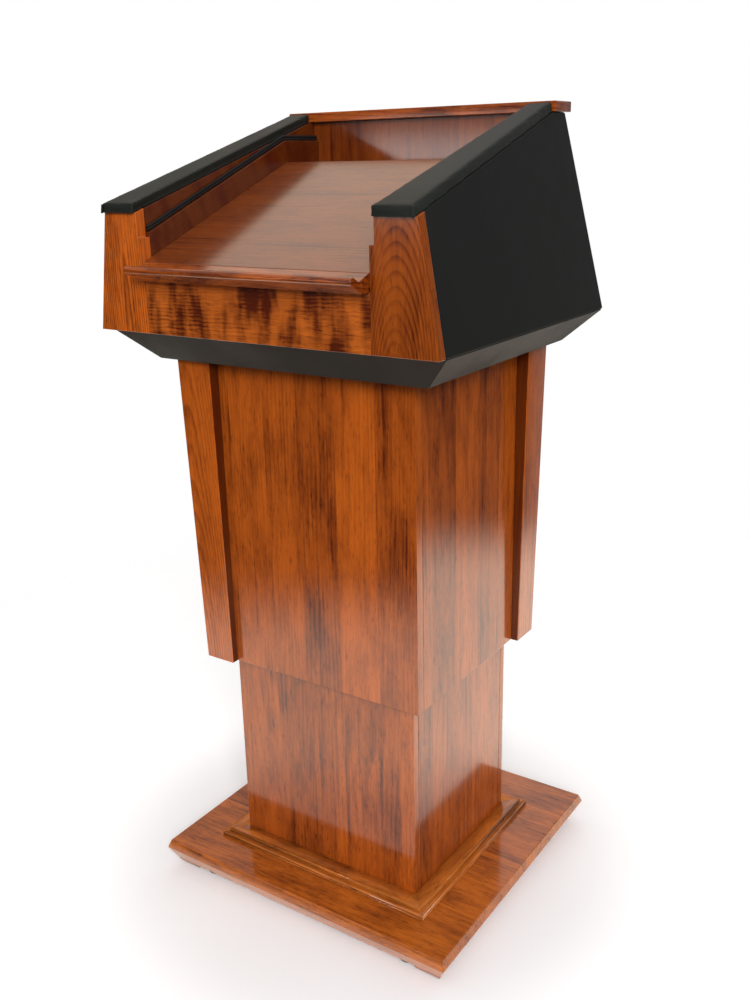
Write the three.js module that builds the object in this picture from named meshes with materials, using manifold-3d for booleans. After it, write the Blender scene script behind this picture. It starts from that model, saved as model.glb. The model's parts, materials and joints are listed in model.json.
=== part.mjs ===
// Presentation lectern on a pedestal that telescopes up and down.
// Millimetres, +Z up. The speaker stands on the -Y side, the audience on the +Y side.
import * as THREE from "three";
import { ConvexGeometry } from "three/addons/geometries/ConvexGeometry.js";
import { mergeVertices } from "three/addons/utils/BufferGeometryUtils.js";
import Module from "manifold-3d";

const wasm = await Module();
wasm.setup();

// ---------------------------------------------------------------- driving dimensions
// Fits
const SEAT = 0.3; // gap between two pieces that rest on or are glued to each other
const RUN = 1.0; // gap between two pieces that slide past each other

// Base
const BASE_WIDTH = 610;
const BASE_DEPTH = 559;
const BOARD_TOP = 54; // height of the base board's top face
const BOARD_RIM = 39; // height of its widest line
const BOARD_BOTTOM = 12;
const BOARD_EASE = 6; // how far the top face is inside the widest line
const BOARD_UNDERCUT = 0.51; // how fast the lower bevel runs inward, per millimetre down
const FOOT_SIZE = 66;
const FOOT_BOTTOM = 4;
const FOOT_RAMP = 2.2; // slope of a foot's inner ends
const GLIDE_RADIUS = 20;
const GLIDE_SIDE_INSET = 90; // from the board's side to a glide's centre
const GLIDE_END_INSET = 40; // from the board's front or back to a glide's centre
const TRIM_WIDTH = 37;
const TRIM_HEIGHT = 15;
const TRIM_BEAD = 9; // height of the trim's outer bead

// Lower column
const COLUMN_CENTRE_Y = -11; // measured from the middle of the base board
const COLUMN_WIDTH = 374;
const COLUMN_DEPTH = 324;
const COLUMN_WALL = 15;
const GUIDE_WIDTH = 90;
const GUIDE_HEIGHT = 110;
const INLET_WIDTH = 48;
const INLET_HEIGHT = 28;
const INLET_CENTRE_Z = 98;
const INLET_FLANGE = 3;
const INLET_LIP_X = 4; // how far the inlet's flange covers the panel beside its hole
const INLET_LIP_Z = 3;
const INLET_DEPTH = 26;
const INLET_POCKET = 18; // depth of the socket behind the panel's face
const INLET_RIM_X = 8; // from the flange's edge to the socket
const INLET_RIM_Z = 6;
const PIN_PITCH = 7;
const PIN_LENGTH = 14;

// Sleeve
const SLEEVE_WALL = 18;
const SLEEVE_CLEARANCE = 6; // between the lower column and the sleeve's inner face
const SLEEVE_BOTTOM = 436;
const PILASTER_WIDTH = 59;
const PILASTER_PROUD = 14;
const PILASTER_FLARE = 9; // how much further out its outer faces stand at the top

// Lifting column inside the pedestal
const LIFT_SIZE = 110;
const LIFT_WALL = 3;
const LIFT_TRAVEL = 305;
const LIFT_CLEAR = 8; // between each stage's lower end and the one below it, with the lift down
const LIFT_OUTER_GAP = 64; // from the outer tube up to the top plate, with the lift down
const LIFT_MIDDLE_GAP = 36;
const COLUMN_GAP = 23; // from the lower column up to the head, with the lift down
const LIFT_PLATE = 8;
const LIFT_PLATE_SIZE = 190;

// Head
const HEAD_BOTTOM = 980; // underside of the skirt and of the head's floor
const SKIRT_TOP = 1033;
const HEAD_WIDTH = 626; // at the top of the skirt
const HEAD_FRONT = -284; // back face of the fascia, and front of the skirt's top
const HEAD_BACK = 248; // back face at the top of the skirt
const SKIRT_SIDE_INSET = 57;
const SKIRT_FRONT_INSET = 48;
const SKIRT_BACK_INSET = 37;
const SIDE_LEAN = 0.17; // how fast the side panels run inward, per millimetre up
const BACK_LEAN = 0.2;
const PANEL_WALL = 14;
const FLOOR_WALL = 12;
const FASCIA_WALL = 18;
const LINER_WALL = 12;
const INNER_HALF = 207; // half the clear width between the lower liners
const LEDGE_WIDTH = 8; // how far the upper liners stand back from the lower ones
const INNER_BACK = 155; // front face of the inner back panel
const DESK_FRONT_Z = 1142; // height of the desk's top face at the fascia's front
const DESK_SLOPE = 0.386;
const DESK_WALL = 18;
const SHELF_FRONT = 57; // where the sloping desk meets the level shelf
const LEDGE_RISE = 36; // height of the liners' ledge above the desk
const LEDGE_STRIP = 9; // height of the double bead on the ledge
const STRIP_INSET = 3.5; // bare ledge in front of the bead
const ARM_FRONT_Z = 1215; // underside of an armrest at the fascia's front
const ARM_SLOPE = 0.299;
const ARM_THICKNESS = 14;
const ARM_OVERHANG = 7; // how far an armrest stands in front of the fascia
const CAP_FRONT = 142;
const CAP_DEPTH = 61;
const CAP_THICKNESS = 16;
const CAP_OVERHANG = 2.5; // beyond the side panels
const RAIL_DROP = 25; // from the desk's front edge down to the rail's top
const LIP_REACH = 43; // how far the lip stands in front of the fascia
const LIP_NOSE = 6; // radius of the lip's nose
const LIP_VALLEY = 13.2; // from the nose's centre back to the bottom of the valley
const LIP_DROP = 26; // from the desk's front edge down to the lip's underside
const LIP_FOOT = 17; // depth of the lip's level underside
const SWITCH_Y = -225;
const SWITCH_LENGTH = 27;
const SWITCH_WIDTH = 20;
const SWITCH_FLANGE = 2; // how far the switch's flange stands out from the liner
const SWITCH_LIP = 2.5; // how far it covers the liner around its hole
const SWITCH_BODY = 15;
const ROCKER_LENGTH = 17;
const ROCKER_WIDTH = 11;
const ROCKER_SWING_GAP = 1.2; // clear space beyond each end of the rocker
const ROCKER_SIDE_GAP = 0.5;
const CONTROL_BOX = [230, 110, 44];
const CONTROL_BOX_EASE = 6;

// ---------------------------------------------------------------- derived places
const COLUMN_TOP = HEAD_BOTTOM - LIFT_TRAVEL - COLUMN_GAP;
const COLUMN_FRONT = COLUMN_CENTRE_Y - COLUMN_DEPTH / 2;
const COLUMN_BACK = COLUMN_CENTRE_Y + COLUMN_DEPTH / 2;
const SLEEVE_HALF_X = COLUMN_WIDTH / 2 + SLEEVE_CLEARANCE + SLEEVE_WALL;
const SLEEVE_HALF_Y = COLUMN_DEPTH / 2 + SLEEVE_CLEARANCE + SLEEVE_WALL;
const LIFT_STEP = LIFT_WALL + RUN; // from one stage's outer face to the next one's
const LIFT_TOP = HEAD_BOTTOM - SEAT - LIFT_PLATE;
const HEAD_HALF = HEAD_WIDTH / 2;
const HEAD_HEIGHT = SKIRT_TOP - HEAD_BOTTOM;
const FASCIA_FRONT = HEAD_FRONT - FASCIA_WALL;
const UPPER_HALF = INNER_HALF + LEDGE_WIDTH;
const SHELF_TOP = DESK_FRONT_Z + DESK_SLOPE * (SHELF_FRONT - FASCIA_FRONT);
const LEDGE_LEVEL = SHELF_TOP + LEDGE_RISE;
const CAP_BOTTOM = ARM_FRONT_Z + ARM_SLOPE * (CAP_FRONT - FASCIA_FRONT);
const CAP_BACK = CAP_FRONT + CAP_DEPTH;
const CAP_HALF = HEAD_HALF - SIDE_LEAN * (CAP_BOTTOM - SKIRT_TOP) + CAP_OVERHANG;
const NOSE_FRONT = FASCIA_FRONT - LIP_REACH;
const LIP_BOTTOM = DESK_FRONT_Z - LIP_DROP;
const RAIL_TOP = DESK_FRONT_Z - RAIL_DROP;

const deskHeight = (y) => DESK_FRONT_Z + DESK_SLOPE * (y - FASCIA_FRONT);
const armHeight = (y) => ARM_FRONT_Z + ARM_SLOPE * (y - FASCIA_FRONT);

// The row's origin is the middle of the whole object's footprint.
const ORIGIN_SHIFT = -(NOSE_FRONT + BASE_DEPTH / 2) / 2;

// ---------------------------------------------------------------- materials
function finish(color, roughness, metalness = 0) {
  return new THREE.MeshStandardMaterial({ color, roughness, metalness });
}

const FINISHES = {
  wood: () => finish(0x9a4a1c, 0.2),
  figured: () => finish(0x7a3512, 0.2),
  vinyl: () => finish(0x262826, 0.6),
  steel: () => finish(0x8d9094, 0.4, 0.9),
  plastic: () => finish(0x151515, 0.5),
};

const lectern = new THREE.Group();
lectern.name = "lectern";
lectern.position.y = ORIGIN_SHIFT;

function add(name, kind, geometry) {
  const mesh = new THREE.Mesh(geometry, FINISHES[kind]());
  mesh.name = name;
  lectern.add(mesh);
  return mesh;
}

// ---------------------------------------------------------------- shape helpers
function block(x0, x1, y0, y1, z0, z1) {
  const box = new THREE.BoxGeometry(x1 - x0, y1 - y0, z1 - z0);
  return box.translate((x0 + x1) / 2, (y0 + y1) / 2, (z0 + z1) / 2);
}

function outline(points) {
  return new THREE.Shape(points.map(([a, b]) => new THREE.Vector2(a, b)));
}

function extrude(shape, depth) {
  return new THREE.ExtrudeGeometry(shape, { depth, bevelEnabled: false, curveSegments: 12 });
}

// A shape drawn in (y, z) and given thickness along X.
function extrudeAlongX(shape, x0, x1) {
  const turn = new THREE.Matrix4().makeBasis(
    new THREE.Vector3(0, 1, 0), new THREE.Vector3(0, 0, 1), new THREE.Vector3(1, 0, 0));
  return extrude(shape, x1 - x0).applyMatrix4(turn).translate(x0, 0, 0);
}

// A shape drawn in (x, z) and given thickness along Y.
function extrudeAlongY(shape, y0, y1) {
  return extrude(shape, y1 - y0).rotateX(Math.PI / 2).translate(0, y1, 0);
}

// A shape drawn in (x, y) and given thickness along Z.
function extrudeAlongZ(shape, z0, z1) {
  return extrude(shape, z1 - z0).translate(0, 0, z0);
}

function plane(nx, ny, nz, x, y, z) {
  const normal = new THREE.Vector3(nx, ny, nz).normalize();
  return new THREE.Plane().setFromNormalAndCoplanarPoint(normal, new THREE.Vector3(x, y, z));
}

const atY = (y) => plane(0, 1, 0, 0, y, 0);
const atZ = (z) => plane(0, 0, 1, 0, 0, z);
const risingZ = (z, y, slope) => plane(0, -slope, 1, 0, y, z);

// The same plane moved against its normal.
function sunk(source, depth) {
  return new THREE.Plane(source.normal.clone(), source.constant + depth);
}

function meet(a, b, c) {
  const bc = new THREE.Vector3().crossVectors(b.normal, c.normal);
  const ca = new THREE.Vector3().crossVectors(c.normal, a.normal);
  const ab = new THREE.Vector3().crossVectors(a.normal, b.normal);
  const sum = bc.multiplyScalar(-a.constant).addScaledVector(ca, -b.constant).addScaledVector(ab, -c.constant);
  return sum.divideScalar(a.normal.dot(new THREE.Vector3().crossVectors(b.normal, c.normal)));
}

// Corners of a panel between an outer and an inner face, cut to size by a ring of edge planes.
function panelCorners(outer, inner, ring) {
  return ring.flatMap((edge, i) => {
    const next = ring[(i + 1) % ring.length];
    return [meet(outer, edge, next), meet(inner, edge, next)];
  });
}

function panel(outer, inner, ring) {
  return new ConvexGeometry(panelCorners(outer, inner, ring));
}

function mirroredPanel(outer, inner, ring) {
  const corners = panelCorners(outer, inner, ring);
  return new ConvexGeometry(corners.map((p) => new THREE.Vector3(-p.x, p.y, p.z)));
}

// The mitre plane between two panels, through the corner of their outer and of their inner faces.
// It faces away from the first panel.
function mitre(outerA, outerB, wall) {
  const low = meet(outerA, outerB, atZ(0));
  const high = meet(outerA, outerB, atZ(1000));
  const inside = meet(sunk(outerA, wall), sunk(outerB, wall), atZ(0));
  const cut = new THREE.Plane().setFromCoplanarPoints(low, high, inside);
  if (cut.normal.dot(outerB.normal) < 0) cut.negate();
  return cut;
}

function toSolid(geometry) {
  const bare = geometry.clone();
  bare.deleteAttribute("normal");
  bare.deleteAttribute("uv");
  const merged = mergeVertices(bare);
  const vertProperties = new Float32Array(merged.attributes.position.array);
  const triVerts = new Uint32Array(merged.index.array);
  return new wasm.Manifold(new wasm.Mesh({ numProp: 3, vertProperties, triVerts }));
}

function toGeometry(solid) {
  const mesh = solid.getMesh();
  const geometry = new THREE.BufferGeometry();
  geometry.setAttribute("position", new THREE.BufferAttribute(new Float32Array(mesh.vertProperties), 3));
  geometry.setIndex(new THREE.BufferAttribute(new Uint32Array(mesh.triVerts), 1));
  return geometry;
}

const SIDES = [["left", -1], ["right", 1]];
const ENDS = [["front", -1], ["back", 1]];

// ---------------------------------------------------------------- base
function undercutPlane(nx, ny) {
  const x = nx * BASE_WIDTH / 2;
  const y = ny * BASE_DEPTH / 2;
  return plane(nx, ny, -BOARD_UNDERCUT, x, y, BOARD_RIM);
}

function baseBoard() {
  const inset = BOARD_UNDERCUT * (BOARD_RIM - BOARD_BOTTOM);
  const levels = [[BOARD_BOTTOM, inset], [BOARD_RIM, 0], [BOARD_TOP, BOARD_EASE]];
  const corners = levels.flatMap(([z, cut]) => [-1, 1].flatMap((sx) => [-1, 1].map((sy) => (
    new THREE.Vector3(sx * (BASE_WIDTH / 2 - cut), sy * (BASE_DEPTH / 2 - cut), z)))));
  return new ConvexGeometry(corners);
}

// A low block under one corner of the board, its outer faces in line with the board's bevel.
function cornerFoot(sx, sy) {
  const outerX = undercutPlane(sx, 0);
  const outerY = undercutPlane(0, sy);
  const innerX = plane(-sx, 0, -1 / FOOT_RAMP, sx * (BASE_WIDTH / 2 - FOOT_SIZE), 0, BOARD_BOTTOM);
  const innerY = plane(0, -sy, -1 / FOOT_RAMP, 0, sy * (BASE_DEPTH / 2 - FOOT_SIZE), BOARD_BOTTOM);
  return panel(atZ(BOARD_BOTTOM - SEAT), atZ(FOOT_BOTTOM), [outerX, outerY, innerX, innerY]);
}

function glide(x, y) {
  const top = BOARD_BOTTOM - SEAT;
  const r = GLIDE_RADIUS;
  const stem = r * 0.4;
  const profile = [[0, 0], [r * 0.7, 0], [r * 0.92, 1.5], [r, 4.5], [r, 7], [stem, 7], [stem, top], [0, top]];
  const lathe = new THREE.LatheGeometry(profile.map(([a, b]) => new THREE.Vector2(a, b)), 28);
  return lathe.rotateX(Math.PI / 2).translate(x, y, 0);
}

// One mitred length of the moulding at the column's foot. Its profile is drawn as distance out
// from the column and height above the board.
function trimLength(halfRun, faceDistance) {
  const profile = [
    [SEAT, SEAT], [TRIM_WIDTH, SEAT], [TRIM_WIDTH, 3.5], [TRIM_WIDTH - 2, 5], [TRIM_WIDTH - 2, TRIM_BEAD - 2],
    [TRIM_WIDTH - 4, TRIM_BEAD], [TRIM_WIDTH - 7, TRIM_BEAD + 1], [TRIM_WIDTH - 9, TRIM_HEIGHT - 2],
    [TRIM_WIDTH - 12, TRIM_HEIGHT], [SEAT, TRIM_HEIGHT],
  ];
  const strip = extrude(outline(profile), 1);
  const position = strip.attributes.position;
  for (let i = 0; i < position.count; i += 1) {
    const out = position.getX(i);
    const side = 1 - position.getZ(i) * 2;
    const run = side * (halfRun + out - SEAT / 2);
    position.setXYZ(i, run, -(faceDistance + out), BOARD_TOP + position.getY(i));
  }
  return strip;
}

function buildBase() {
  add("base_board", "wood", baseBoard());
  const glideX = BASE_WIDTH / 2 - GLIDE_SIDE_INSET;
  const glideY = BASE_DEPTH / 2 - GLIDE_END_INSET;
  for (const [side, sx] of SIDES) {
    for (const [end, sy] of ENDS) {
      add(`corner_foot_${end}_${side}`, "wood", cornerFoot(sx, sy));
      add(`glide_${end}_${side}`, "plastic", glide(sx * glideX, sy * glideY));
    }
  }
  const turns = [["front", 0], ["right", 1], ["back", 2], ["left", 3]];
  for (const [name, quarter] of turns) {
    const along = quarter % 2 === 0 ? COLUMN_WIDTH / 2 : COLUMN_DEPTH / 2;
    const across = quarter % 2 === 0 ? COLUMN_DEPTH / 2 : COLUMN_WIDTH / 2;
    const strip = trimLength(along, across).rotateZ(quarter * Math.PI / 2).translate(0, COLUMN_CENTRE_Y, 0);
    add(`base_trim_${name}`, "wood", strip);
  }
}

// ---------------------------------------------------------------- lower column
function buildLowerColumn() {
  const half = COLUMN_WIDTH / 2;
  const bottom = BOARD_TOP + SEAT;
  const front = block(-half, half, COLUMN_FRONT, COLUMN_FRONT + COLUMN_WALL, bottom, COLUMN_TOP);
  add("lower_panel_front", "wood", front);

  const back = outline([[-half, bottom], [half, bottom], [half, COLUMN_TOP], [-half, COLUMN_TOP]]);
  const w = INLET_WIDTH / 2 - INLET_LIP_X;
  const h = INLET_HEIGHT / 2 - INLET_LIP_Z;
  const z = INLET_CENTRE_Z;
  back.holes.push(new THREE.Path(outline([[-w, z - h], [-w, z + h], [w, z + h], [w, z - h]]).getPoints()));
  add("lower_panel_back", "wood", extrudeAlongY(back, COLUMN_BACK - COLUMN_WALL, COLUMN_BACK));

  for (const [side, sx] of SIDES) {
    const outer = sx * half;
    const inner = sx * (half - COLUMN_WALL);
    const low = COLUMN_FRONT + COLUMN_WALL + SEAT;
    const high = COLUMN_BACK - COLUMN_WALL - SEAT;
    const wall = block(Math.min(outer, inner), Math.max(outer, inner), low, high, bottom, COLUMN_TOP);
    add(`lower_panel_${side}`, "wood", wall);

    const near = sx * (half + SEAT);
    const far = sx * (half + SLEEVE_CLEARANCE - RUN);
    const y = COLUMN_CENTRE_Y;
    const pad = block(Math.min(near, far), Math.max(near, far), y - GUIDE_WIDTH / 2, y + GUIDE_WIDTH / 2,
      COLUMN_TOP - GUIDE_HEIGHT, COLUMN_TOP);
    add(`guide_pad_${side}`, "plastic", pad);
  }
}

// A panel socket: flange outside the back panel, body through it, and a pocket open to the back.
function powerInlet() {
  const centred = (w, h, y0, y1) => block(-w, w, y0, y1, INLET_CENTRE_Z - h, INLET_CENTRE_Z + h);
  const w = INLET_WIDTH / 2;
  const h = INLET_HEIGHT / 2;
  const face = COLUMN_BACK;
  const body = centred(w - INLET_LIP_X - SEAT, h - INLET_LIP_Z - SEAT, face - INLET_DEPTH, face + 1);
  const flange = centred(w, h, face + SEAT, face + INLET_FLANGE);
  const pocket = centred(w - INLET_RIM_X, h - INLET_RIM_Z, face - INLET_POCKET, face + INLET_FLANGE + 1);
  const pins = [[-PIN_PITCH, -1], [0, 3], [PIN_PITCH, -1]].map(([x, rise]) => {
    const pin = centred(1, 2, face - INLET_POCKET - 2, face - INLET_POCKET + PIN_LENGTH);
    return toSolid(pin.translate(x, 0, rise));
  });
  const socket = toSolid(body).add(toSolid(flange)).subtract(toSolid(pocket));
  return toGeometry(pins.reduce((all, pin) => all.add(pin), socket));
}

// ---------------------------------------------------------------- lifting column
function squareTube(size, z0, z1) {
  const s = size / 2;
  const i = s - LIFT_WALL;
  const section = outline([[-s, -s], [s, -s], [s, s], [-s, s]]);
  section.holes.push(new THREE.Path(outline([[-i, -i], [-i, i], [i, i], [i, -i]]).getPoints()));
  return extrudeAlongZ(section, z0, z1).translate(0, COLUMN_CENTRE_Y, 0);
}

function liftPlate(z0, z1) {
  const s = LIFT_PLATE_SIZE / 2;
  return block(-s, s, COLUMN_CENTRE_Y - s, COLUMN_CENTRE_Y + s, z0, z1);
}

function buildLift() {
  const plateTop = BOARD_TOP + SEAT + LIFT_PLATE;
  add("lift_foot_plate", "steel", liftPlate(BOARD_TOP + SEAT, plateTop));
  const outerTop = LIFT_TOP - LIFT_TRAVEL - LIFT_OUTER_GAP;
  add("lift_outer_tube", "steel", squareTube(LIFT_SIZE, plateTop + SEAT, outerTop));
  const middleBottom = plateTop + LIFT_CLEAR + LIFT_TRAVEL / 2;
  const middleTop = LIFT_TOP - LIFT_TRAVEL / 2 - LIFT_MIDDLE_GAP;
  add("lift_middle_tube", "steel", squareTube(LIFT_SIZE - 2 * LIFT_STEP, middleBottom, middleTop));
  const innerBottom = plateTop + 2 * LIFT_CLEAR + LIFT_TRAVEL;
  add("lift_inner_tube", "steel", squareTube(LIFT_SIZE - 4 * LIFT_STEP, innerBottom, LIFT_TOP - SEAT));
  add("lift_top_plate", "steel", liftPlate(LIFT_TOP, LIFT_TOP + LIFT_PLATE));
}

// ---------------------------------------------------------------- sleeve
// An L-shaped board round a corner of the sleeve. Its two outer faces flare outward going up.
function cornerPilaster(sx, sy) {
  const x = sx * (SLEEVE_HALF_X + PILASTER_PROUD);
  const y = sy * (SLEEVE_HALF_Y + PILASTER_PROUD);
  const legX = x - sx * PILASTER_WIDTH;
  const legY = y - sy * PILASTER_WIDTH;
  const faceX = sx * (SLEEVE_HALF_X + SEAT);
  const faceY = sy * (SLEEVE_HALF_Y + SEAT);
  const section = outline([[x, y], [x, legY], [faceX, legY], [faceX, faceY], [legX, faceY], [legX, y]]);
  const top = HEAD_BOTTOM - SEAT;
  const straight = extrudeAlongZ(section, SLEEVE_BOTTOM, top);
  const position = straight.attributes.position;
  for (let i = 0; i < position.count; i += 1) {
    if (Math.abs(position.getZ(i) - top) > 0.01) continue;
    if (Math.abs(position.getX(i) - x) < 0.01) position.setX(i, x + sx * PILASTER_FLARE);
    if (Math.abs(position.getY(i) - y) < 0.01) position.setY(i, y + sy * PILASTER_FLARE);
  }
  return straight.translate(0, COLUMN_CENTRE_Y, 0);
}

function buildSleeve() {
  const top = HEAD_BOTTOM - SEAT;
  const halfX = SLEEVE_HALF_X;
  const middle = COLUMN_CENTRE_Y;
  const reach = SLEEVE_HALF_Y - SLEEVE_WALL - SEAT;
  for (const [end, sy] of ENDS) {
    const outer = sy * SLEEVE_HALF_Y;
    const inner = outer - sy * SLEEVE_WALL;
    const wall = block(-halfX, halfX, Math.min(outer, inner), Math.max(outer, inner), SLEEVE_BOTTOM, top);
    add(`sleeve_panel_${end}`, "wood", wall.translate(0, middle, 0));
  }
  for (const [side, sx] of SIDES) {
    const outer = sx * halfX;
    const inner = outer - sx * SLEEVE_WALL;
    const wall = block(Math.min(outer, inner), Math.max(outer, inner), -reach, reach, SLEEVE_BOTTOM, top);
    add(`sleeve_panel_${side}`, "wood", wall.translate(0, middle, 0));
  }
  add("corner_pilaster_front_left", "wood", cornerPilaster(-1, -1));
  add("corner_pilaster_back_right", "wood", cornerPilaster(1, 1));
}

// ---------------------------------------------------------------- head shell
const sideOut = plane(1, 0, SIDE_LEAN, HEAD_HALF, 0, SKIRT_TOP);
const backOut = plane(0, 1, BACK_LEAN, 0, HEAD_BACK, SKIRT_TOP);
const skirtOut = {
  right: plane(1, 0, -SKIRT_SIDE_INSET / HEAD_HEIGHT, HEAD_HALF, 0, SKIRT_TOP),
  left: plane(-1, 0, -SKIRT_SIDE_INSET / HEAD_HEIGHT, -HEAD_HALF, 0, SKIRT_TOP),
  front: plane(0, -1, -SKIRT_FRONT_INSET / HEAD_HEIGHT, 0, HEAD_FRONT, SKIRT_TOP),
  back: plane(0, 1, -SKIRT_BACK_INSET / HEAD_HEIGHT, 0, HEAD_BACK, SKIRT_TOP),
};

function buildSkirt() {
  const order = ["front", "right", "back", "left"];
  const bottom = atZ(HEAD_BOTTOM);
  const top = atZ(SKIRT_TOP - SEAT);
  order.forEach((name, i) => {
    const outer = skirtOut[name];
    const cuts = [order[(i + 1) % 4], order[(i + 3) % 4]].map((other) => (
      sunk(mitre(outer, skirtOut[other], PANEL_WALL), SEAT / 2)));
    add(`skirt_${name}`, "vinyl", panel(outer, sunk(outer, PANEL_WALL), [cuts[0], top, cuts[1], bottom]));
  });
  const inside = (name) => sunk(skirtOut[name], PANEL_WALL + SEAT);
  const floor = panel(atZ(HEAD_BOTTOM), atZ(HEAD_BOTTOM + FLOOR_WALL),
    [inside("front"), inside("right"), inside("back"), inside("left")]);
  add("head_floor", "vinyl", floor);
}

function buildShell() {
  const bottom = atZ(SKIRT_TOP);
  const front = atY(HEAD_FRONT + SEAT);
  const underArm = risingZ(ARM_FRONT_Z - SEAT, FASCIA_FRONT, ARM_SLOPE);
  const underCap = atZ(CAP_BOTTOM - SEAT);
  const corner = sunk(mitre(sideOut, backOut, PANEL_WALL), SEAT / 2);
  const ring = [bottom, front, underArm, underCap, corner];
  const inner = sunk(sideOut, PANEL_WALL);
  add("side_panel_right", "vinyl", panel(sideOut, inner, ring));
  add("side_panel_left", "vinyl", mirroredPanel(sideOut, inner, ring));

  const right = sunk(mitre(backOut, sideOut, PANEL_WALL), SEAT / 2);
  const left = new THREE.Plane(right.normal.clone().setX(-right.normal.x), right.constant);
  add("back_panel", "vinyl", panel(backOut, sunk(backOut, PANEL_WALL), [bottom, right, underCap, left]));
}

// ---------------------------------------------------------------- fascia
// Gives a piece that was drawn with a level top the slope of the armrest above it.
function slopeTop(geometry, level) {
  const position = geometry.attributes.position;
  for (let i = 0; i < position.count; i += 1) {
    if (Math.abs(position.getZ(i) - level) < 0.01) {
      position.setZ(i, armHeight(position.getY(i)) - SEAT);
    }
  }
  return geometry;
}

function buildFascia() {
  const top = ARM_FRONT_Z;
  const topHalf = HEAD_HALF - SIDE_LEAN * (top - SKIRT_TOP);
  const ledge = deskHeight(FASCIA_FRONT) + LEDGE_RISE;
  const edge = [[INNER_HALF, SKIRT_TOP], [HEAD_HALF, SKIRT_TOP], [topHalf, top], [UPPER_HALF, top],
    [UPPER_HALF, ledge], [INNER_HALF, ledge]];
  const mirrored = edge.map(([x, z]) => [-x, z]).reverse();
  add("fascia_post_right", "wood", slopeTop(extrudeAlongY(outline(edge), FASCIA_FRONT, HEAD_FRONT), top));
  add("fascia_post_left", "wood", slopeTop(extrudeAlongY(outline(mirrored), FASCIA_FRONT, HEAD_FRONT), top));
  const rail = block(-INNER_HALF + SEAT, INNER_HALF - SEAT, FASCIA_FRONT, HEAD_FRONT, SKIRT_TOP, RAIL_TOP);
  add("fascia_rail", "figured", rail);
}

// ---------------------------------------------------------------- inside walls
function switchHole() {
  const centre = switchCentre();
  const angle = Math.atan(DESK_SLOPE);
  const halfLong = SWITCH_LENGTH / 2 - SWITCH_LIP;
  const halfWide = SWITCH_WIDTH / 2 - SWITCH_LIP;
  const corners = [[-halfWide, -halfLong], [-halfWide, halfLong], [halfWide, halfLong], [halfWide, -halfLong]];
  return corners.map(([a, b]) => [
    centre.y + a * Math.cos(angle) - b * Math.sin(angle),
    centre.z + a * Math.sin(angle) + b * Math.cos(angle)]);
}

function switchCentre() {
  const rise = LEDGE_RISE / 2 - 1;
  return new THREE.Vector3(INNER_HALF, SWITCH_Y, deskHeight(SWITCH_Y) + rise);
}

function buildLiners() {
  const front = HEAD_FRONT + SEAT;
  const back = INNER_BACK - SEAT;
  // The ledge's line from the fascia up to the shelf and along it, raised by an amount.
  const ledge = (rise) => [
    [front, deskHeight(front) + LEDGE_RISE + rise],
    [SHELF_FRONT, LEDGE_LEVEL + rise],
    [back, LEDGE_LEVEL + rise],
  ];
  const lower = [[front, SKIRT_TOP], [back, SKIRT_TOP], ...ledge(0).reverse()];
  const underCap = CAP_BOTTOM - SEAT;
  const upper = [...ledge(SEAT), [back, underCap], [CAP_FRONT, underCap], [front, armHeight(front) - SEAT]];
  const strip = [...ledge(SEAT), ...ledge(LEDGE_STRIP).reverse()];
  for (const [side, sx] of SIDES) {
    const wall = (points, a, b, hole) => {
      const shape = outline(points);
      if (hole) shape.holes.push(new THREE.Path(outline(hole).getPoints()));
      return sx > 0 ? extrudeAlongX(shape, a, b) : extrudeAlongX(shape, -b, -a);
    };
    const hole = sx > 0 ? switchHole() : null;
    add(`liner_lower_${side}`, "figured", wall(lower, INNER_HALF, INNER_HALF + LINER_WALL, hole));
    add(`liner_upper_${side}`, "figured", wall(upper, UPPER_HALF, UPPER_HALF + LINER_WALL));
    add(`ledge_strip_${side}`, "vinyl", wall(strip, INNER_HALF + STRIP_INSET, UPPER_HALF - SEAT));
  }
  const half = UPPER_HALF + LINER_WALL;
  const backWall = block(-half, half, INNER_BACK, INNER_BACK + LINER_WALL, SKIRT_TOP, underCap);
  add("inner_back_panel", "wood", backWall);
}

// ---------------------------------------------------------------- desk, lip, cap and armrests
// The lip's section: its top carries on the desk's slope, dips into a valley and rises over a nose.
function lipSection() {
  const root = FASCIA_FRONT - SEAT;
  const noseY = NOSE_FRONT + LIP_NOSE;
  const noseZ = deskHeight(noseY) + LIP_NOSE;
  const valley = noseY + LIP_VALLEY;
  const diagonal = LIP_NOSE * Math.SQRT1_2;
  const lip = new THREE.Shape();
  lip.moveTo(root, LIP_BOTTOM);
  lip.lineTo(root, deskHeight(root));
  lip.lineTo(valley, deskHeight(valley));
  lip.lineTo(noseY + diagonal, noseZ + diagonal);
  lip.absarc(noseY, noseZ, LIP_NOSE, Math.PI * 0.25, Math.PI * 1.25, false);
  lip.lineTo(FASCIA_FRONT - LIP_FOOT, LIP_BOTTOM);
  return lip;
}

function buildDesk() {
  const half = INNER_HALF - SEAT;
  const joint = FASCIA_FRONT + SEAT;
  const drop = DESK_WALL / Math.cos(Math.atan(DESK_SLOPE));
  const board = [[joint, deskHeight(joint) - drop], [SHELF_FRONT, SHELF_TOP - drop], [SHELF_FRONT, SHELF_TOP],
    [joint, deskHeight(joint)]];
  add("desk_board", "wood", extrudeAlongX(outline(board), -half, half));
  const shelf = block(-half, half, SHELF_FRONT + SEAT, INNER_BACK - SEAT, SHELF_TOP - DESK_WALL, SHELF_TOP);
  add("desk_shelf", "wood", shelf);

  add("desk_lip", "wood", extrudeAlongX(lipSection(), -half, half));
  const cap = block(-CAP_HALF, CAP_HALF, CAP_FRONT, CAP_BACK, CAP_BOTTOM, CAP_BOTTOM + CAP_THICKNESS);
  add("cap_bar", "wood", cap);
}

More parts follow.
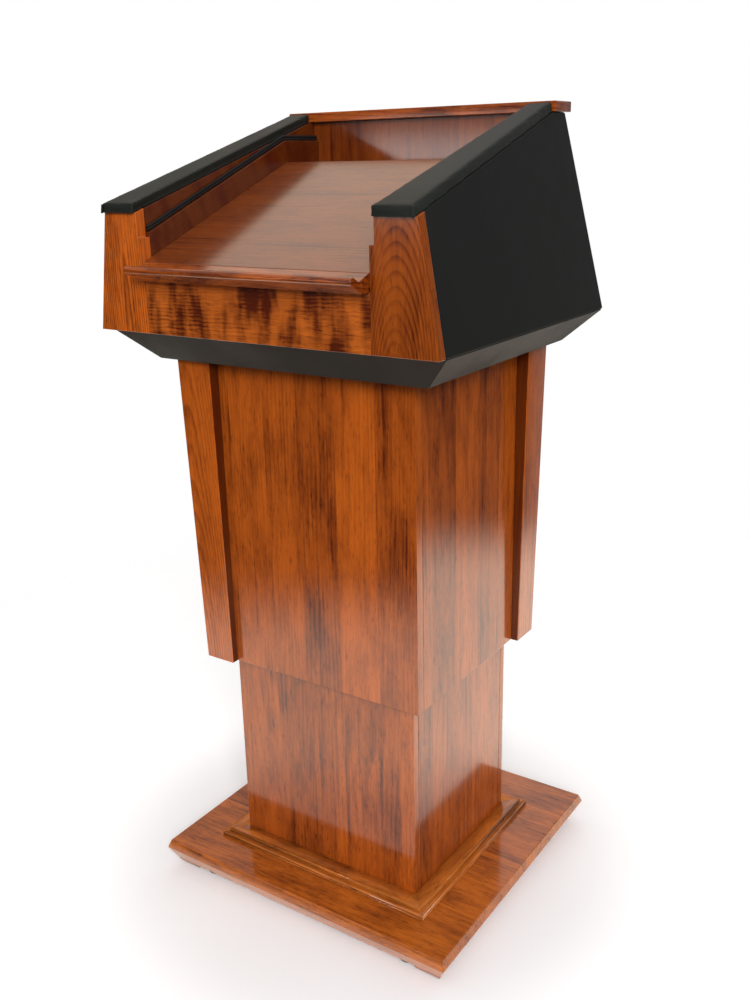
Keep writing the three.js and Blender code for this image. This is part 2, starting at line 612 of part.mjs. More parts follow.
function buildArmrests() {
  const under = risingZ(ARM_FRONT_Z, FASCIA_FRONT, ARM_SLOPE);
  const over = sunk(under, -ARM_THICKNESS);
  const inner = plane(-1, 0, 0, UPPER_HALF, 0, 0);
  const ring = [inner, atY(FASCIA_FRONT - ARM_OVERHANG), sideOut, atY(CAP_FRONT - SEAT)];
  add("armrest_right", "vinyl", panel(over, under, ring));
  add("armrest_left", "vinyl", mirroredPanel(over, under, ring));
}

// ---------------------------------------------------------------- lift switch
// Drawn about its own pivot with its face up, then turned to face inward from the right liner.
function placeSwitch(name, geometry) {
  const mesh = add(name, "plastic", geometry);
  const angle = Math.atan(DESK_SLOPE);
  const along = new THREE.Vector3(0, Math.cos(angle), Math.sin(angle));
  const up = new THREE.Vector3(0, -Math.sin(angle), Math.cos(angle));
  const inward = new THREE.Vector3(-1, 0, 0);
  mesh.quaternion.setFromRotationMatrix(new THREE.Matrix4().makeBasis(up, along, inward));
  mesh.position.copy(switchCentre());
}

function switchBlock(halfLong, halfWide, z0, z1) {
  return toSolid(block(-halfLong, halfLong, -halfWide, halfWide, z0, z1));
}

function buildSwitch() {
  const halfLong = SWITCH_LENGTH / 2;
  const halfWide = SWITCH_WIDTH / 2;
  const reach = SWITCH_LIP + SEAT;
  const rockerHalf = ROCKER_LENGTH / 2;
  const top = SEAT + SWITCH_FLANGE;
  const flange = switchBlock(halfLong, halfWide, SEAT, top);
  const body = switchBlock(halfLong - reach, halfWide - reach, -SWITCH_BODY, top / 2);
  const pocket = switchBlock(rockerHalf + ROCKER_SWING_GAP, ROCKER_WIDTH / 2 + ROCKER_SIDE_GAP,
    -SWITCH_BODY * 2 / 3, top + 1);
  placeSwitch("switch_housing", toGeometry(flange.add(body).subtract(pocket)));

  // The rocker's face dips in the middle and rises to a rounded crest at each end.
  const crest = rockerHalf - 1.5;
  const face = outline([[-rockerHalf, -4], [rockerHalf, -4], [rockerHalf, 4.2], [crest, 4.8], [0, 3.2],
    [-crest, 4.8], [-rockerHalf, 4.2]]);
  const rocker = extrude(face, ROCKER_WIDTH).rotateX(Math.PI / 2).translate(0, ROCKER_WIDTH / 2, 0);
  placeSwitch("switch_rocker", rocker);
}

function controlBox() {
  const [length, width, height] = CONTROL_BOX;
  const side = length / 2;
  const bottom = HEAD_BOTTOM + FLOOR_WALL + SEAT;
  const shoulder = bottom + height - CONTROL_BOX_EASE;
  const rim = side - CONTROL_BOX_EASE;
  const section = outline([[-side, bottom], [side, bottom], [side, shoulder], [rim, bottom + height],
    [-rim, bottom + height], [-side, shoulder]]);
  return extrudeAlongY(section, COLUMN_CENTRE_Y - width / 2, COLUMN_CENTRE_Y + width / 2);
}

buildBase();
buildLowerColumn();
add("power_inlet", "plastic", powerInlet());
buildLift();
buildSleeve();
buildSkirt();
buildShell();
buildFascia();
buildLiners();
buildDesk();
buildArmrests();
buildSwitch();
add("control_box", "plastic", controlBox());

export default lectern;
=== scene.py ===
# %% [markdown]
# # Presentation lectern
# A lacquered cherry lectern on a pedestal that slides up and down. The carpentry comes in as a
# ready frame of solids, so this script only adds what carpentry drawings leave out: rounded
# edges, upholstery, mouldings and beads, and the finishes themselves.

import json
import math

import bmesh
import bpy
from mathutils import Matrix, Vector

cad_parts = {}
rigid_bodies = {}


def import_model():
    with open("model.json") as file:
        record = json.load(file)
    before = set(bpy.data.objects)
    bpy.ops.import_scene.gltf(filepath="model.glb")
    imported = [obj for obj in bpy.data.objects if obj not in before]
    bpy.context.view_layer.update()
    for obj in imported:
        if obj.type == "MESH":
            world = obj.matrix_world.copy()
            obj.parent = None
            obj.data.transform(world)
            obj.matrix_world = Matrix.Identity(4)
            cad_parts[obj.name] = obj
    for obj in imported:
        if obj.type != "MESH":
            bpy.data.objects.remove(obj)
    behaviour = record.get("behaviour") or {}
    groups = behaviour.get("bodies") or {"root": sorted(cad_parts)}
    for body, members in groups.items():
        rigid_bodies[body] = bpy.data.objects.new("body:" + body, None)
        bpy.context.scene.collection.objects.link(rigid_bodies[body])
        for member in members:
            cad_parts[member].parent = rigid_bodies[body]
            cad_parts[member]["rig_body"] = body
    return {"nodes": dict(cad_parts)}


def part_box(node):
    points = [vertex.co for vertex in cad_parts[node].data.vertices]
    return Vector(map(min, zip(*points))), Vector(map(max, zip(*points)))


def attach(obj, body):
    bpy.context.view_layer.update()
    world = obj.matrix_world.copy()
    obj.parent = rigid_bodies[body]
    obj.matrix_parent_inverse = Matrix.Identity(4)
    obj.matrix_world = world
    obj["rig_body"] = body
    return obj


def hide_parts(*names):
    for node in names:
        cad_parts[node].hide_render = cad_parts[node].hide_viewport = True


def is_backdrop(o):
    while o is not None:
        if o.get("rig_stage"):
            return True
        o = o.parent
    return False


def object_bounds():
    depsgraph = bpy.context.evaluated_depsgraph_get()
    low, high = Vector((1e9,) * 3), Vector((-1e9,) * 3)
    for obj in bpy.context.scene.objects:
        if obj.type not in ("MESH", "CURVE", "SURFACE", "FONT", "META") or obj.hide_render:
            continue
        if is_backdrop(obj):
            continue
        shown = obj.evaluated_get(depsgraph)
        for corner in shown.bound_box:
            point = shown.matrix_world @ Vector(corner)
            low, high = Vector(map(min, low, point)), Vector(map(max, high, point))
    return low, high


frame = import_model()
CAD_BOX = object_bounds()
NODES = frame["nodes"]
SCENE = bpy.context.scene
MM = 0.001
print("frame:", len(NODES), "nodes, top at", round(CAD_BOX[1].z, 3))

# %% [markdown]
# ## Camera
# A lectern seen from a standing person's height needs a camera that looks slightly down, so its
# uprights lean together towards the floor. The camera could be aimed with a Track To constraint,
# but a constraint hides the angles, so its axes are worked out from three angles: round the
# object, above the horizon, and a small roll.

# %% Camera
CAMERA_PLACE = Vector((0.9886, -1.4210, 1.2863))
CAMERA_AZIMUTH = math.radians(34.12)
CAMERA_ELEVATION = math.radians(18.18)
CAMERA_ROLL = math.radians(-1.29)
CAMERA_LENS = 37.6
SENSOR_WIDTH = 36


def camera_axes():
    """The camera's right, up and backward directions as one rotation."""
    flat = math.cos(CAMERA_ELEVATION)
    back = Vector((math.sin(CAMERA_AZIMUTH) * flat, -math.cos(CAMERA_AZIMUTH) * flat,
                   math.sin(CAMERA_ELEVATION)))
    right = Vector((0, 0, 1)).cross(back).normalized()
    up = back.cross(right)
    level = Matrix((right, up, back)).transposed()
    return level @ Matrix.Rotation(CAMERA_ROLL, 3, "Z")


camera_data = bpy.data.cameras.new("camera")
camera_data.lens = CAMERA_LENS
camera_data.sensor_width = SENSOR_WIDTH
camera = bpy.data.objects.new("camera", camera_data)
camera.matrix_world = Matrix.Translation(CAMERA_PLACE) @ camera_axes().to_4x4()
SCENE.collection.objects.link(camera)
SCENE.camera = camera
SCENE.view_settings.view_transform = "Standard"
print("camera:", CAMERA_LENS, "mm lens,", round(CAMERA_PLACE.length, 2), "m from the floor's middle")

# %% [markdown]
# ## Node helpers
# Every finish below is a small network of shader nodes. Nodes could be placed one by one with
# their links, but a few helpers keep each network short enough to read: `feed` sets or links a
# node's inputs, `wire` adds a node, and `maths`, `remap`, `noise`, `stretch` and `blend_colour`
# each add one common kind. `new_group` starts a node group with named sockets, which several
# finishes can share, and `new_finish` starts a material.

# %% Node helpers
def feed(tree, node, inputs):
    """Links or sets a node's inputs."""
    for socket, value in inputs.items():
        if isinstance(value, bpy.types.NodeSocket):
            tree.links.new(value, node.inputs[socket])
        else:
            node.inputs[socket].default_value = value
    return node


def wire(tree, kind, inputs=None, **settings):
    """Adds a node, sets its properties, and links or sets its inputs."""
    node = tree.nodes.new(kind)
    for key, value in settings.items():
        setattr(node, key, value)
    return feed(tree, node, inputs or {})


def maths(tree, operation, *values):
    """One Math node; returns its result."""
    return wire(tree, "ShaderNodeMath", dict(enumerate(values)), operation=operation).outputs[0]


def remap(tree, value, low, high, to_low, to_high):
    """Stretches low..high to to_low..to_high with soft ends."""
    values = {"Value": value, "From Min": low, "From Max": high, "To Min": to_low, "To Max": to_high}
    return wire(tree, "ShaderNodeMapRange", values, interpolation_type="SMOOTHSTEP").outputs[0]


def noise(tree, vector, scale, detail=2.0, roughness=0.5):
    """A Noise Texture's value, about 0.5 on average."""
    values = {"Vector": vector, "Scale": scale, "Detail": detail, "Roughness": roughness}
    return wire(tree, "ShaderNodeTexNoise", values).outputs["Fac"]


def stretch(tree, vector, scale):
    """Scales a vector's three parts."""
    return wire(tree, "ShaderNodeVectorMath", {0: vector, 1: scale}, operation="MULTIPLY").outputs[0]


def blend_colour(tree, factor, colour_a, colour_b):
    """Mixes two colours."""
    values = {0: factor, 6: colour_a, 7: colour_b}
    return wire(tree, "ShaderNodeMix", values, data_type="RGBA").outputs[2]


def new_group(name, inputs, outputs):
    """Starts a shader node group. Inputs are (name, kind, default), outputs (name, kind)."""
    tree = bpy.data.node_groups.new(name, "ShaderNodeTree")
    for label, kind, default in inputs:
        socket = tree.interface.new_socket(label, in_out="INPUT", socket_type=kind)
        if default is not None:
            socket.default_value = default
    for label, kind in outputs:
        tree.interface.new_socket(label, in_out="OUTPUT", socket_type=kind)
    return tree, tree.nodes.new("NodeGroupInput"), tree.nodes.new("NodeGroupOutput")


def place_group(tree, group, inputs):
    """Places a node group and connects its inputs; returns its outputs."""
    return wire(tree, "ShaderNodeGroup", inputs, node_tree=group).outputs


def new_finish(name):
    """Starts a material; returns it with its node tree and its main shader."""
    material = bpy.data.materials.new(name)
    material.use_nodes = True
    return material, material.node_tree, material.node_tree.nodes["Principled BSDF"]


FLOAT, VECTOR, COLOUR = "NodeSocketFloat", "NodeSocketVector", "NodeSocketColor"

# %% [markdown]
# ## Floor and light
# The lectern stands in a pool of white floor in a studio with a pale ceiling and dim walls.
# High-gloss lacquer shows whatever is around it, so the room matters more than the lamps: the
# white floor puts a pale sheen on the lower half of each upright panel, and the dim walls leave
# the upper half deep and clear. The floor is a disc that fades out, which avoids a hard edge in
# the reflections. A strongly lit white floor is brighter than a screen can show, so it also
# glows a little, mostly in reflections, and less in the shade near the base. Four area lamps
# stand in for a key light, a window and two reflector cards. A picture of a real studio wrapped
# round the scene would light it too, but lamps can be moved until each sheen lies where it should.

# %% Floor
FLOOR_RADIUS = 2.6
POOL_CENTRE = (0.15, 0.20, 0.0)
POOL_START, POOL_END = 1.35, 2.0
SHADE_START, SHADE_END = 0.36, 0.62
FLOOR_GLOW, FLOOR_LIFT, SHADE_GLOW = 1.5, 0.30, 0.25
FLOOR_WHITE, GLOW_WARM = (0.92, 0.92, 0.93, 1), (1.0, 0.80, 0.60, 1)
WHITE = (1, 1, 1, 1)

floor_mesh = bpy.data.meshes.new("floor")
floor_bm = bmesh.new()
bmesh.ops.create_circle(floor_bm, cap_ends=True, segments=96, radius=FLOOR_RADIUS)
floor_bm.to_mesh(floor_mesh)
floor_bm.free()
floor = bpy.data.objects.new("floor", floor_mesh)
SCENE.collection.objects.link(floor)
floor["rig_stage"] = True

paper, paper_tree, paper_shader = new_finish("white_floor")
paper_place = wire(paper_tree, "ShaderNodeTexCoord").outputs["Object"]
from_pool = wire(paper_tree, "ShaderNodeVectorMath", {0: paper_place, 1: POOL_CENTRE},
                 operation="DISTANCE").outputs["Value"]
from_base = wire(paper_tree, "ShaderNodeVectorMath", {0: paper_place},
                 operation="LENGTH").outputs["Value"]
seen_by = wire(paper_tree, "ShaderNodeLightPath").outputs
paper_glow = maths(paper_tree, "MULTIPLY", seen_by["Is Glossy Ray"], FLOOR_GLOW)
paper_glow = maths(paper_tree, "MULTIPLY_ADD", seen_by["Is Camera Ray"], FLOOR_LIFT, paper_glow)
paper_open = remap(paper_tree, from_base, SHADE_START, SHADE_END, SHADE_GLOW, 1)
feed(paper_tree, paper_shader, {
    "Base Color": FLOOR_WHITE,
    "Roughness": 0.9,
    "Specular IOR Level": 0.1,
    "Alpha": remap(paper_tree, from_pool, POOL_START, POOL_END, 1, 0),
    "Emission Strength": maths(paper_tree, "MULTIPLY", paper_glow, paper_open),
    "Emission Color": blend_colour(paper_tree, seen_by["Is Glossy Ray"], WHITE, GLOW_WARM)})
floor_mesh.materials.append(paper)
print("floor: white to", POOL_START, "m, gone by", POOL_END, "m")

# %% Room
CEILING, WALLS, GROUND = 0.55, 0.06, 0.02
GROUND_END, WALL_START = -0.16, -0.02
WALL_END, CEILING_START = 0.12, 0.55

world = bpy.data.worlds.new("white_room")
world.use_nodes = True
SCENE.world = world
room = world.node_tree
room.nodes.clear()
room_way = wire(room, "ShaderNodeTexCoord").outputs["Generated"]
room_height = wire(room, "ShaderNodeSeparateXYZ", {0: room_way}).outputs["Z"]
room_low = remap(room, room_height, GROUND_END, WALL_START, GROUND, WALLS)
room_high = remap(room, room_height, WALL_END, CEILING_START, 0, CEILING - WALLS)
room_light = maths(room, "ADD", room_low, room_high)
seen = wire(room, "ShaderNodeLightPath").outputs["Is Camera Ray"]
room_strength = wire(room, "ShaderNodeMix", {0: seen, 2: room_light, 3: 1.0}).outputs[0]
room_shader = wire(room, "ShaderNodeBackground", {"Color": WHITE, "Strength": room_strength})
wire(room, "ShaderNodeOutputWorld", {"Surface": room_shader.outputs[0]})


def softbox(name, place, target, width, height, brightness, colour=(1, 1, 1)):
    """A rectangular lamp that faces its target; its brightness is what a mirror would show."""
    data = bpy.data.lights.new(name, "AREA")
    data.shape = "RECTANGLE"
    data.size, data.size_y = width, height
    data.color = colour
    data.energy = brightness * math.pi * width * height
    lamp = bpy.data.objects.new(name, data)
    lamp.location = place
    lamp.rotation_euler = (Vector(target) - Vector(place)).to_track_quat("-Z", "Y").to_euler()
    lamp.visible_camera = False
    SCENE.collection.objects.link(lamp)


softbox("window_left", place=(-1.7, -3.3, 1.24), target=(0, 0, 1.24), width=1.3, height=0.30,
        brightness=5.4)
softbox("key", place=(2.3, -3.1, 2.7), target=(0, 0, 0.9), width=1.5, height=1.5, brightness=20.0)
softbox("card_above", place=(-1.2, 0.75, 2.9), target=(0, -0.1, 1.2), width=1.7, height=1.5,
        brightness=0.72, colour=(1.0, 0.78, 0.52))
softbox("card_behind", place=(-0.35, 2.1, 1.0), target=(-0.35, 0, 1.0), width=2.9, height=2.4,
        brightness=0.55)

# %% [markdown]
# ## Stained cherry
# Cherry veneer under red-brown stain and clear lacquer. An image of wood would be quicker, but
# it would repeat and stretch. Real wood is a solid full of growth rings, so the rings are worked
# out in space: a board is a slice through nested cylinders, and a slice near their middle shows
# pointed arches while one far from it shows straight lines. The first group splits a panel into
# planks and gives each its own place in the tree. The second draws the rings, the third the fine
# fibres and pores, and the fourth the rippled figure that crosses the grain.
# All of them expect x across the grain, y into the board and z along the grain. Each plank keeps
# its true place for the rings, and is moved far off for the noises so no two planks match. With
# Sawn at 0 the whole width is one board, so its rings stay centred where they are put.

# %% Planks
RANDOMNESS = 0.7
OFF_CENTRE_START = 0.3
JOINT_WIDTH = 0.012
FAR_APART = (1.7, 2.3, 3.7)

planks, planks_in, planks_out = new_group(
    "planks",
    [("Vector", VECTOR, None), ("Width", FLOAT, 0.07), ("Seed", FLOAT, 0.0), ("Off Centre", FLOAT, 0.0),
     ("Sawn", FLOAT, 1.0)],
    [("Vector", VECTOR), ("Moved", VECTOR), ("Tone", FLOAT), ("Joint", FLOAT)])
split = wire(planks, "ShaderNodeSeparateXYZ", {0: planks_in.outputs["Vector"]})
across = maths(planks, "DIVIDE", split.outputs["X"], planks_in.outputs["Width"])
across = maths(planks, "ADD", across, planks_in.outputs["Seed"])
along_row = {"W": across, "Scale": 1.0, "Randomness": RANDOMNESS}
cells = wire(planks, "ShaderNodeTexVoronoi", along_row, voronoi_dimensions="1D", feature="F1")
chance = wire(planks, "ShaderNodeSeparateColor", {0: cells.outputs["Color"]})
from_middle = maths(planks, "SUBTRACT", across, cells.outputs["W"])
from_middle = maths(planks, "MULTIPLY", from_middle, planks_in.outputs["Width"])
off = maths(planks, "SUBTRACT", chance.outputs["Red"], OFF_CENTRE_START)
off = maths(planks, "MULTIPLY", off, planks_in.outputs["Off Centre"])
from_middle = maths(planks, "ADD", from_middle, off)
from_middle = wire(planks, "ShaderNodeMix", {
    0: planks_in.outputs["Sawn"], 2: split.outputs["X"], 3: from_middle}).outputs[0]
own_place = wire(planks, "ShaderNodeCombineXYZ", {
    "X": from_middle, "Y": split.outputs["Y"], "Z": split.outputs["Z"]}).outputs[0]
moved = wire(planks, "ShaderNodeVectorMath", {
    0: own_place, 1: stretch(planks, cells.outputs["Color"], FAR_APART)}, operation="ADD")
edges = wire(planks, "ShaderNodeTexVoronoi", along_row, voronoi_dimensions="1D",
             feature="DISTANCE_TO_EDGE")
joint = remap(planks, edges.outputs["Distance"], 0.0, JOINT_WIDTH, 1, 0)
planks.links.new(own_place, planks_out.inputs["Vector"])
planks.links.new(moved.outputs[0], planks_out.inputs["Moved"])
planks.links.new(chance.outputs["Blue"], planks_out.inputs["Tone"])
planks.links.new(joint, planks_out.inputs["Joint"])
print("planks:", len(planks.nodes), "nodes")

# %% Growth rings
BOW_SCALE, WAVER_SCALE, PATCH_SCALE = (9, 9, 1.6), (30, 30, 42), (18, 18, 5)
BOW_REACH = 0.024
LATE_WOOD, RING_END = 0.35, 0.85

rings, rings_in, rings_out = new_group(
    "growth_rings",
    [("Vector", VECTOR, None), ("Moved", VECTOR, None), ("Spacing", FLOAT, 0.007),
     ("Arch", FLOAT, 0.06), ("Waver", FLOAT, 0.0008)],
    [("Ring", FLOAT)])
ring_noise = rings_in.outputs["Moved"]
split = wire(rings, "ShaderNodeSeparateXYZ", {0: rings_in.outputs["Vector"]})
bow = noise(rings, stretch(rings, ring_noise, BOW_SCALE), 1.0, 2.0)
waver = noise(rings, stretch(rings, ring_noise, WAVER_SCALE), 1.0, 2.0)
into = maths(rings, "MULTIPLY_ADD", split.outputs["Z"], rings_in.outputs["Arch"], split.outputs["Y"])
reach = maths(rings, "SQRT", maths(
    rings, "ADD", maths(rings, "POWER", maths(rings, "ABSOLUTE", split.outputs["X"]), 2.0),
    maths(rings, "POWER", maths(rings, "ABSOLUTE", into), 2.0)))
reach = maths(rings, "MULTIPLY_ADD", bow, BOW_REACH, reach)
reach = maths(rings, "MULTIPLY_ADD", waver, rings_in.outputs["Waver"], reach)
phase = maths(rings, "FRACT", maths(rings, "DIVIDE", reach, rings_in.outputs["Spacing"]))
rise = remap(rings, phase, LATE_WOOD, RING_END, 0, 1)
fall = remap(rings, phase, RING_END, 1.0, 0, 1)
patch = noise(rings, stretch(rings, ring_noise, PATCH_SCALE), 1.0, 1.0)
clear = remap(rings, patch, 0.36, 0.62, 0.35, 1)
line = maths(rings, "MULTIPLY", maths(rings, "SUBTRACT", rise, fall), clear)
rings.links.new(line, rings_out.inputs["Ring"])
print("growth rings:", len(rings.nodes), "nodes")

# %% Fibres and pores
COARSE_SCALE, FINE_SCALE, PORE_SCALE = (330, 330, 9), (1300, 1300, 45), (520, 520, 60)
FINE_SHARE = 0.35

fibres, fibres_in, fibres_out = new_group(
    "fibres", [("Vector", VECTOR, None)], [("Fibre", FLOAT), ("Pore", FLOAT)])
fibre_place = fibres_in.outputs["Vector"]
coarse = noise(fibres, stretch(fibres, fibre_place, COARSE_SCALE), 1.0, 3.0, 0.6)
fine = noise(fibres, stretch(fibres, fibre_place, FINE_SCALE), 1.0, 1.0)
specks = noise(fibres, stretch(fibres, fibre_place, PORE_SCALE), 1.0, 0.0)
coarse = maths(fibres, "MULTIPLY", coarse, 1 - FINE_SHARE)
fibres.links.new(maths(fibres, "MULTIPLY_ADD", fine, FINE_SHARE, coarse), fibres_out.inputs["Fibre"])
fibres.links.new(remap(fibres, specks, 0.66, 0.76, 0, 1), fibres_out.inputs["Pore"])
print("fibres and pores:", len(fibres.nodes), "nodes")

# %% Rippled figure
BAR_SCALE, THIN_BAR_SCALE, FEATHER_SCALE = (11, 11, 34), (22, 22, 110), (520, 520, 90)

ripple, ripple_in, ripple_out = new_group(
    "rippled_figure", [("Vector", VECTOR, None)], [("Ripple", FLOAT)])
ripple_place = ripple_in.outputs["Vector"]
bars = noise(ripple, stretch(ripple, ripple_place, BAR_SCALE), 1.0)
thin_bars = noise(ripple, stretch(ripple, ripple_place, THIN_BAR_SCALE), 1.0)
feather = noise(ripple, stretch(ripple, ripple_place, FEATHER_SCALE), 1.0)
bars = maths(ripple, "MULTIPLY_ADD", thin_bars, 0.25, bars)
bars = maths(ripple, "MULTIPLY_ADD", feather, 0.12, bars)
ripple.links.new(remap(ripple, bars, 0.52, 0.92, 0, 1), ripple_out.inputs["Ripple"])
print("rippled figure:", len(ripple.nodes), "nodes")

# %% [markdown]
# The four parts meet in one group that gives a colour and a height. Stain soaks in unevenly, so a
# slow cloudy noise darkens some patches, and the darker parts also turn redder. The height only
# carries the faintest fibre, because the lacquer has filled and levelled everything else.

# %% Stained cherry group
FIBRE_STRENGTH, BASE_TONE = 0.9, -0.40
FLECK_STRENGTH, JOINT_STRENGTH, PORE_STRENGTH = 0.20, 0.08, 0.35

cherry_group, cherry_in, cherry_out = new_group(
    "stained_cherry",
    [("Vector", VECTOR, None), ("Plank Width", FLOAT, 0.07), ("Seed", FLOAT, 0.0),
     ("Off Centre", FLOAT, 0.0), ("Sawn", FLOAT, 1.0), ("Arch", FLOAT, 0.06),
     ("Ring Spacing", FLOAT, 0.007), ("Waver", FLOAT, 0.0008), ("Ring Strength", FLOAT, 0.4),
     ("Streak", FLOAT, 0.3), ("Ripple Strength", FLOAT, 0.0), ("Tone Spread", FLOAT, 0.35),
     ("Cloud", FLOAT, 0.4),
     ("Light", COLOUR, (0.5, 0.14, 0.02, 1)), ("Dark", COLOUR, (0.1, 0.02, 0.004, 1))],
    [("Color", COLOUR), ("Height", FLOAT)])
take = cherry_in.outputs
board = place_group(cherry_group, planks, {
    "Vector": take["Vector"], "Width": take["Plank Width"], "Seed": take["Seed"],
    "Off Centre": take["Off Centre"], "Sawn": take["Sawn"]})
ring = place_group(cherry_group, rings, {
    "Vector": board["Vector"], "Moved": board["Moved"], "Spacing": take["Ring Spacing"],
    "Arch": take["Arch"], "Waver": take["Waver"]})["Ring"]
fibre = place_group(cherry_group, fibres, {"Vector": board["Moved"]})
rippled = place_group(cherry_group, ripple, {"Vector": board["Moved"]})["Ripple"]


def patches(scale, detail, roughness, low, high):
    """A mask of soft patches, stretched along the grain."""
    place = stretch(cherry_group, board["Moved"], scale)
    return remap(cherry_group, noise(cherry_group, place, 1.0, detail, roughness), low, high, 0, 1)


cloud = patches((26, 26, 7), 5.0, 0.7, 0.36, 0.70)
fleck = patches((210, 210, 42), 2.0, 0.5, 0.58, 0.72)
streak = patches((75, 75, 2.6), 2.0, 0.6, 0.56, 0.74)
darkness = maths(cherry_group, "MULTIPLY_ADD", fibre["Fibre"], FIBRE_STRENGTH, BASE_TONE)
for mask, strength in ((ring, take["Ring Strength"]), (cloud, take["Cloud"]), (streak, take["Streak"]),
                       (board["Tone"], take["Tone Spread"]), (rippled, take["Ripple Strength"]),
                       (fleck, FLECK_STRENGTH), (board["Joint"], JOINT_STRENGTH)):
    darkness = maths(cherry_group, "MULTIPLY_ADD", mask, strength, darkness)
factor = wire(cherry_group, "ShaderNodeClamp", {0: darkness}).outputs[0]
stained = blend_colour(cherry_group, factor, take["Light"], take["Dark"])
pored = maths(cherry_group, "MULTIPLY", fibre["Pore"], PORE_STRENGTH)
feed(cherry_group, cherry_out, {
    "Color": blend_colour(cherry_group, pored, stained, take["Dark"]),
    "Height": maths(cherry_group, "MULTIPLY_ADD", fibre["Pore"], -0.5, fibre["Fibre"])})
print("stained cherry:", len(cherry_group.nodes), "nodes")

# %% [markdown]
# A material places that group for one board. `grain` says which of the object's axes run across,
# into and along the board, `shift` moves the board about in the tree so that no two look alike,
# and `tilt` turns the grain to follow the sloping desk. The lacquer is the shader's own coat.

# %% Cherry material
CHERRY_LIGHT = (0.530, 0.110, 0.0095, 1)
CHERRY_DARK = (0.075, 0.0095, 0.0015, 1)
GRAIN_DEPTH = 0.2 * MM


def shade(amount):
    """The light colour scaled by an amount; the head's hollow and the pilasters' inside corners use it for
    painted shade.
    """
    return {"Light": tuple(part * amount for part in CHERRY_LIGHT[:3]) + (1,)}


def cherry(name, grain, shift, tilt=0.0, plank=0.07, gloss=0.12, **look):
    """Lacquered cherry for one board."""
    material, tree, shader = new_finish(name)
    place = wire(tree, "ShaderNodeTexCoord").outputs["Object"]
    turned = wire(tree, "ShaderNodeMapping", {
        "Vector": place, "Rotation": (tilt, 0, 0), "Location": shift})
    split = wire(tree, "ShaderNodeSeparateXYZ", {0: turned.outputs[0]})
    order = {axis: split.outputs[letter] for axis, letter in zip("XYZ", grain)}
    board = wire(tree, "ShaderNodeCombineXYZ", order).outputs[0]
    wood = place_group(tree, cherry_group, {
        "Vector": board, "Plank Width": plank, "Light": CHERRY_LIGHT, "Dark": CHERRY_DARK, **look})
    bump = wire(tree, "ShaderNodeBump", {
        "Height": wood["Height"], "Strength": 0.12, "Distance": GRAIN_DEPTH})
    feed(tree, shader, {
        "Base Color": wood["Color"], "Normal": bump.outputs[0], "Roughness": 0.5,
        "Specular IOR Level": 0.04, "Coat Weight": 1.0, "Coat Roughness": gloss, "Coat IOR": 1.5})
    return material

# %% [markdown]
# ## Vinyl
# Upholstery vinyl is pressed with a fine leather grain: small rounded cells with creases between
# them. A Voronoi texture's distance to its cell edges makes the creases, and two sizes of it keep
# the pattern from looking like netting. A faint paler bloom, as handled vinyl has, breaks up the
# black.

# %% Vinyl
SMALL_CELLS = 2.3
LEATHER_DEPTH = 0.3 * MM
BLOOM_SCALE = (7, 7, 7)

leather, leather_in, leather_out = new_group(
    "leather_grain",
    [("Vector", VECTOR, None), ("Cell", FLOAT, 700.0)],
    [("Height", FLOAT), ("Bloom", FLOAT)])
leather_place = leather_in.outputs["Vector"]


def creases(scale):
    """How far a point is from the nearest crease between cells."""
    values = {"Vector": leather_place, "Scale": scale}
    return wire(leather, "ShaderNodeTexVoronoi", values, feature="DISTANCE_TO_EDGE").outputs["Distance"]


large = creases(leather_in.outputs["Cell"])
small = creases(maths(leather, "MULTIPLY", leather_in.outputs["Cell"], SMALL_CELLS))
bloom = noise(leather, stretch(leather, leather_place, BLOOM_SCALE), 1.0, 4.0, 0.6)
feed(leather, leather_out, {
    "Height": maths(leather, "ADD", remap(leather, large, 0, 0.25, 0, 0.7),
                    remap(leather, small, 0, 0.3, 0, 0.3)),
    "Bloom": remap(leather, bloom, 0.35, 0.7, 0, 1)})


def vinyl(name, dark, pale, roughness, cell=700.0):
    """Grained vinyl between a dark and a pale colour."""
    material, tree, shader = new_finish(name)
    place = wire(tree, "ShaderNodeTexCoord").outputs["Object"]
    skin = place_group(tree, leather, {"Vector": place, "Cell": cell})
    crease = remap(tree, skin["Height"], 0.0, 0.6, 0.35, 1.0)
    bump = wire(tree, "ShaderNodeBump", {
        "Height": skin["Height"], "Strength": 0.35, "Distance": LEATHER_DEPTH})
    feed(tree, shader, {
        "Base Color": blend_colour(tree, maths(tree, "MULTIPLY", skin["Bloom"], crease), dark, pale),
        "Normal": bump.outputs[0],
        "Roughness": remap(tree, skin["Bloom"], 0, 1, roughness, roughness + 0.1),
        "Specular IOR Level": 0.2})
    return material


panel_vinyl = vinyl("panel_vinyl", (0.0045, 0.0052, 0.0047, 1), (0.0085, 0.0098, 0.0088, 1), 0.58)
arm_vinyl = vinyl("arm_vinyl", (0.0088, 0.0102, 0.0084, 1), (0.0165, 0.0190, 0.0155, 1), 0.44)
bead_vinyl = vinyl("bead_vinyl", (0.010, 0.010, 0.010, 1), (0.020, 0.020, 0.020, 1), 0.40)
print("leather grain:", len(leather.nodes), "nodes")

# %% [markdown]
# ## Plain finishes
# Moulded plastic has a slightly mottled spark-eroded skin, and powder-coated steel an orange-peel
# one. Both are a fine noise in the bump and a slower one in the colour and roughness, so one
# group serves them all.

# %% Speckled finishes
SPECKLE_DEPTH = 0.2 * MM
MOTTLE_SCALE = (22, 22, 22)

speckle, speckle_in, speckle_out = new_group(
    "speckle", [("Vector", VECTOR, None), ("Scale", FLOAT, 900.0)], [("Fine", FLOAT), ("Slow", FLOAT)])
speckle_place = speckle_in.outputs["Vector"]
feed(speckle, speckle_out, {
    "Fine": noise(speckle, speckle_place, speckle_in.outputs["Scale"]),
    "Slow": noise(speckle, stretch(speckle, speckle_place, MOTTLE_SCALE), 1.0, 4.0)})


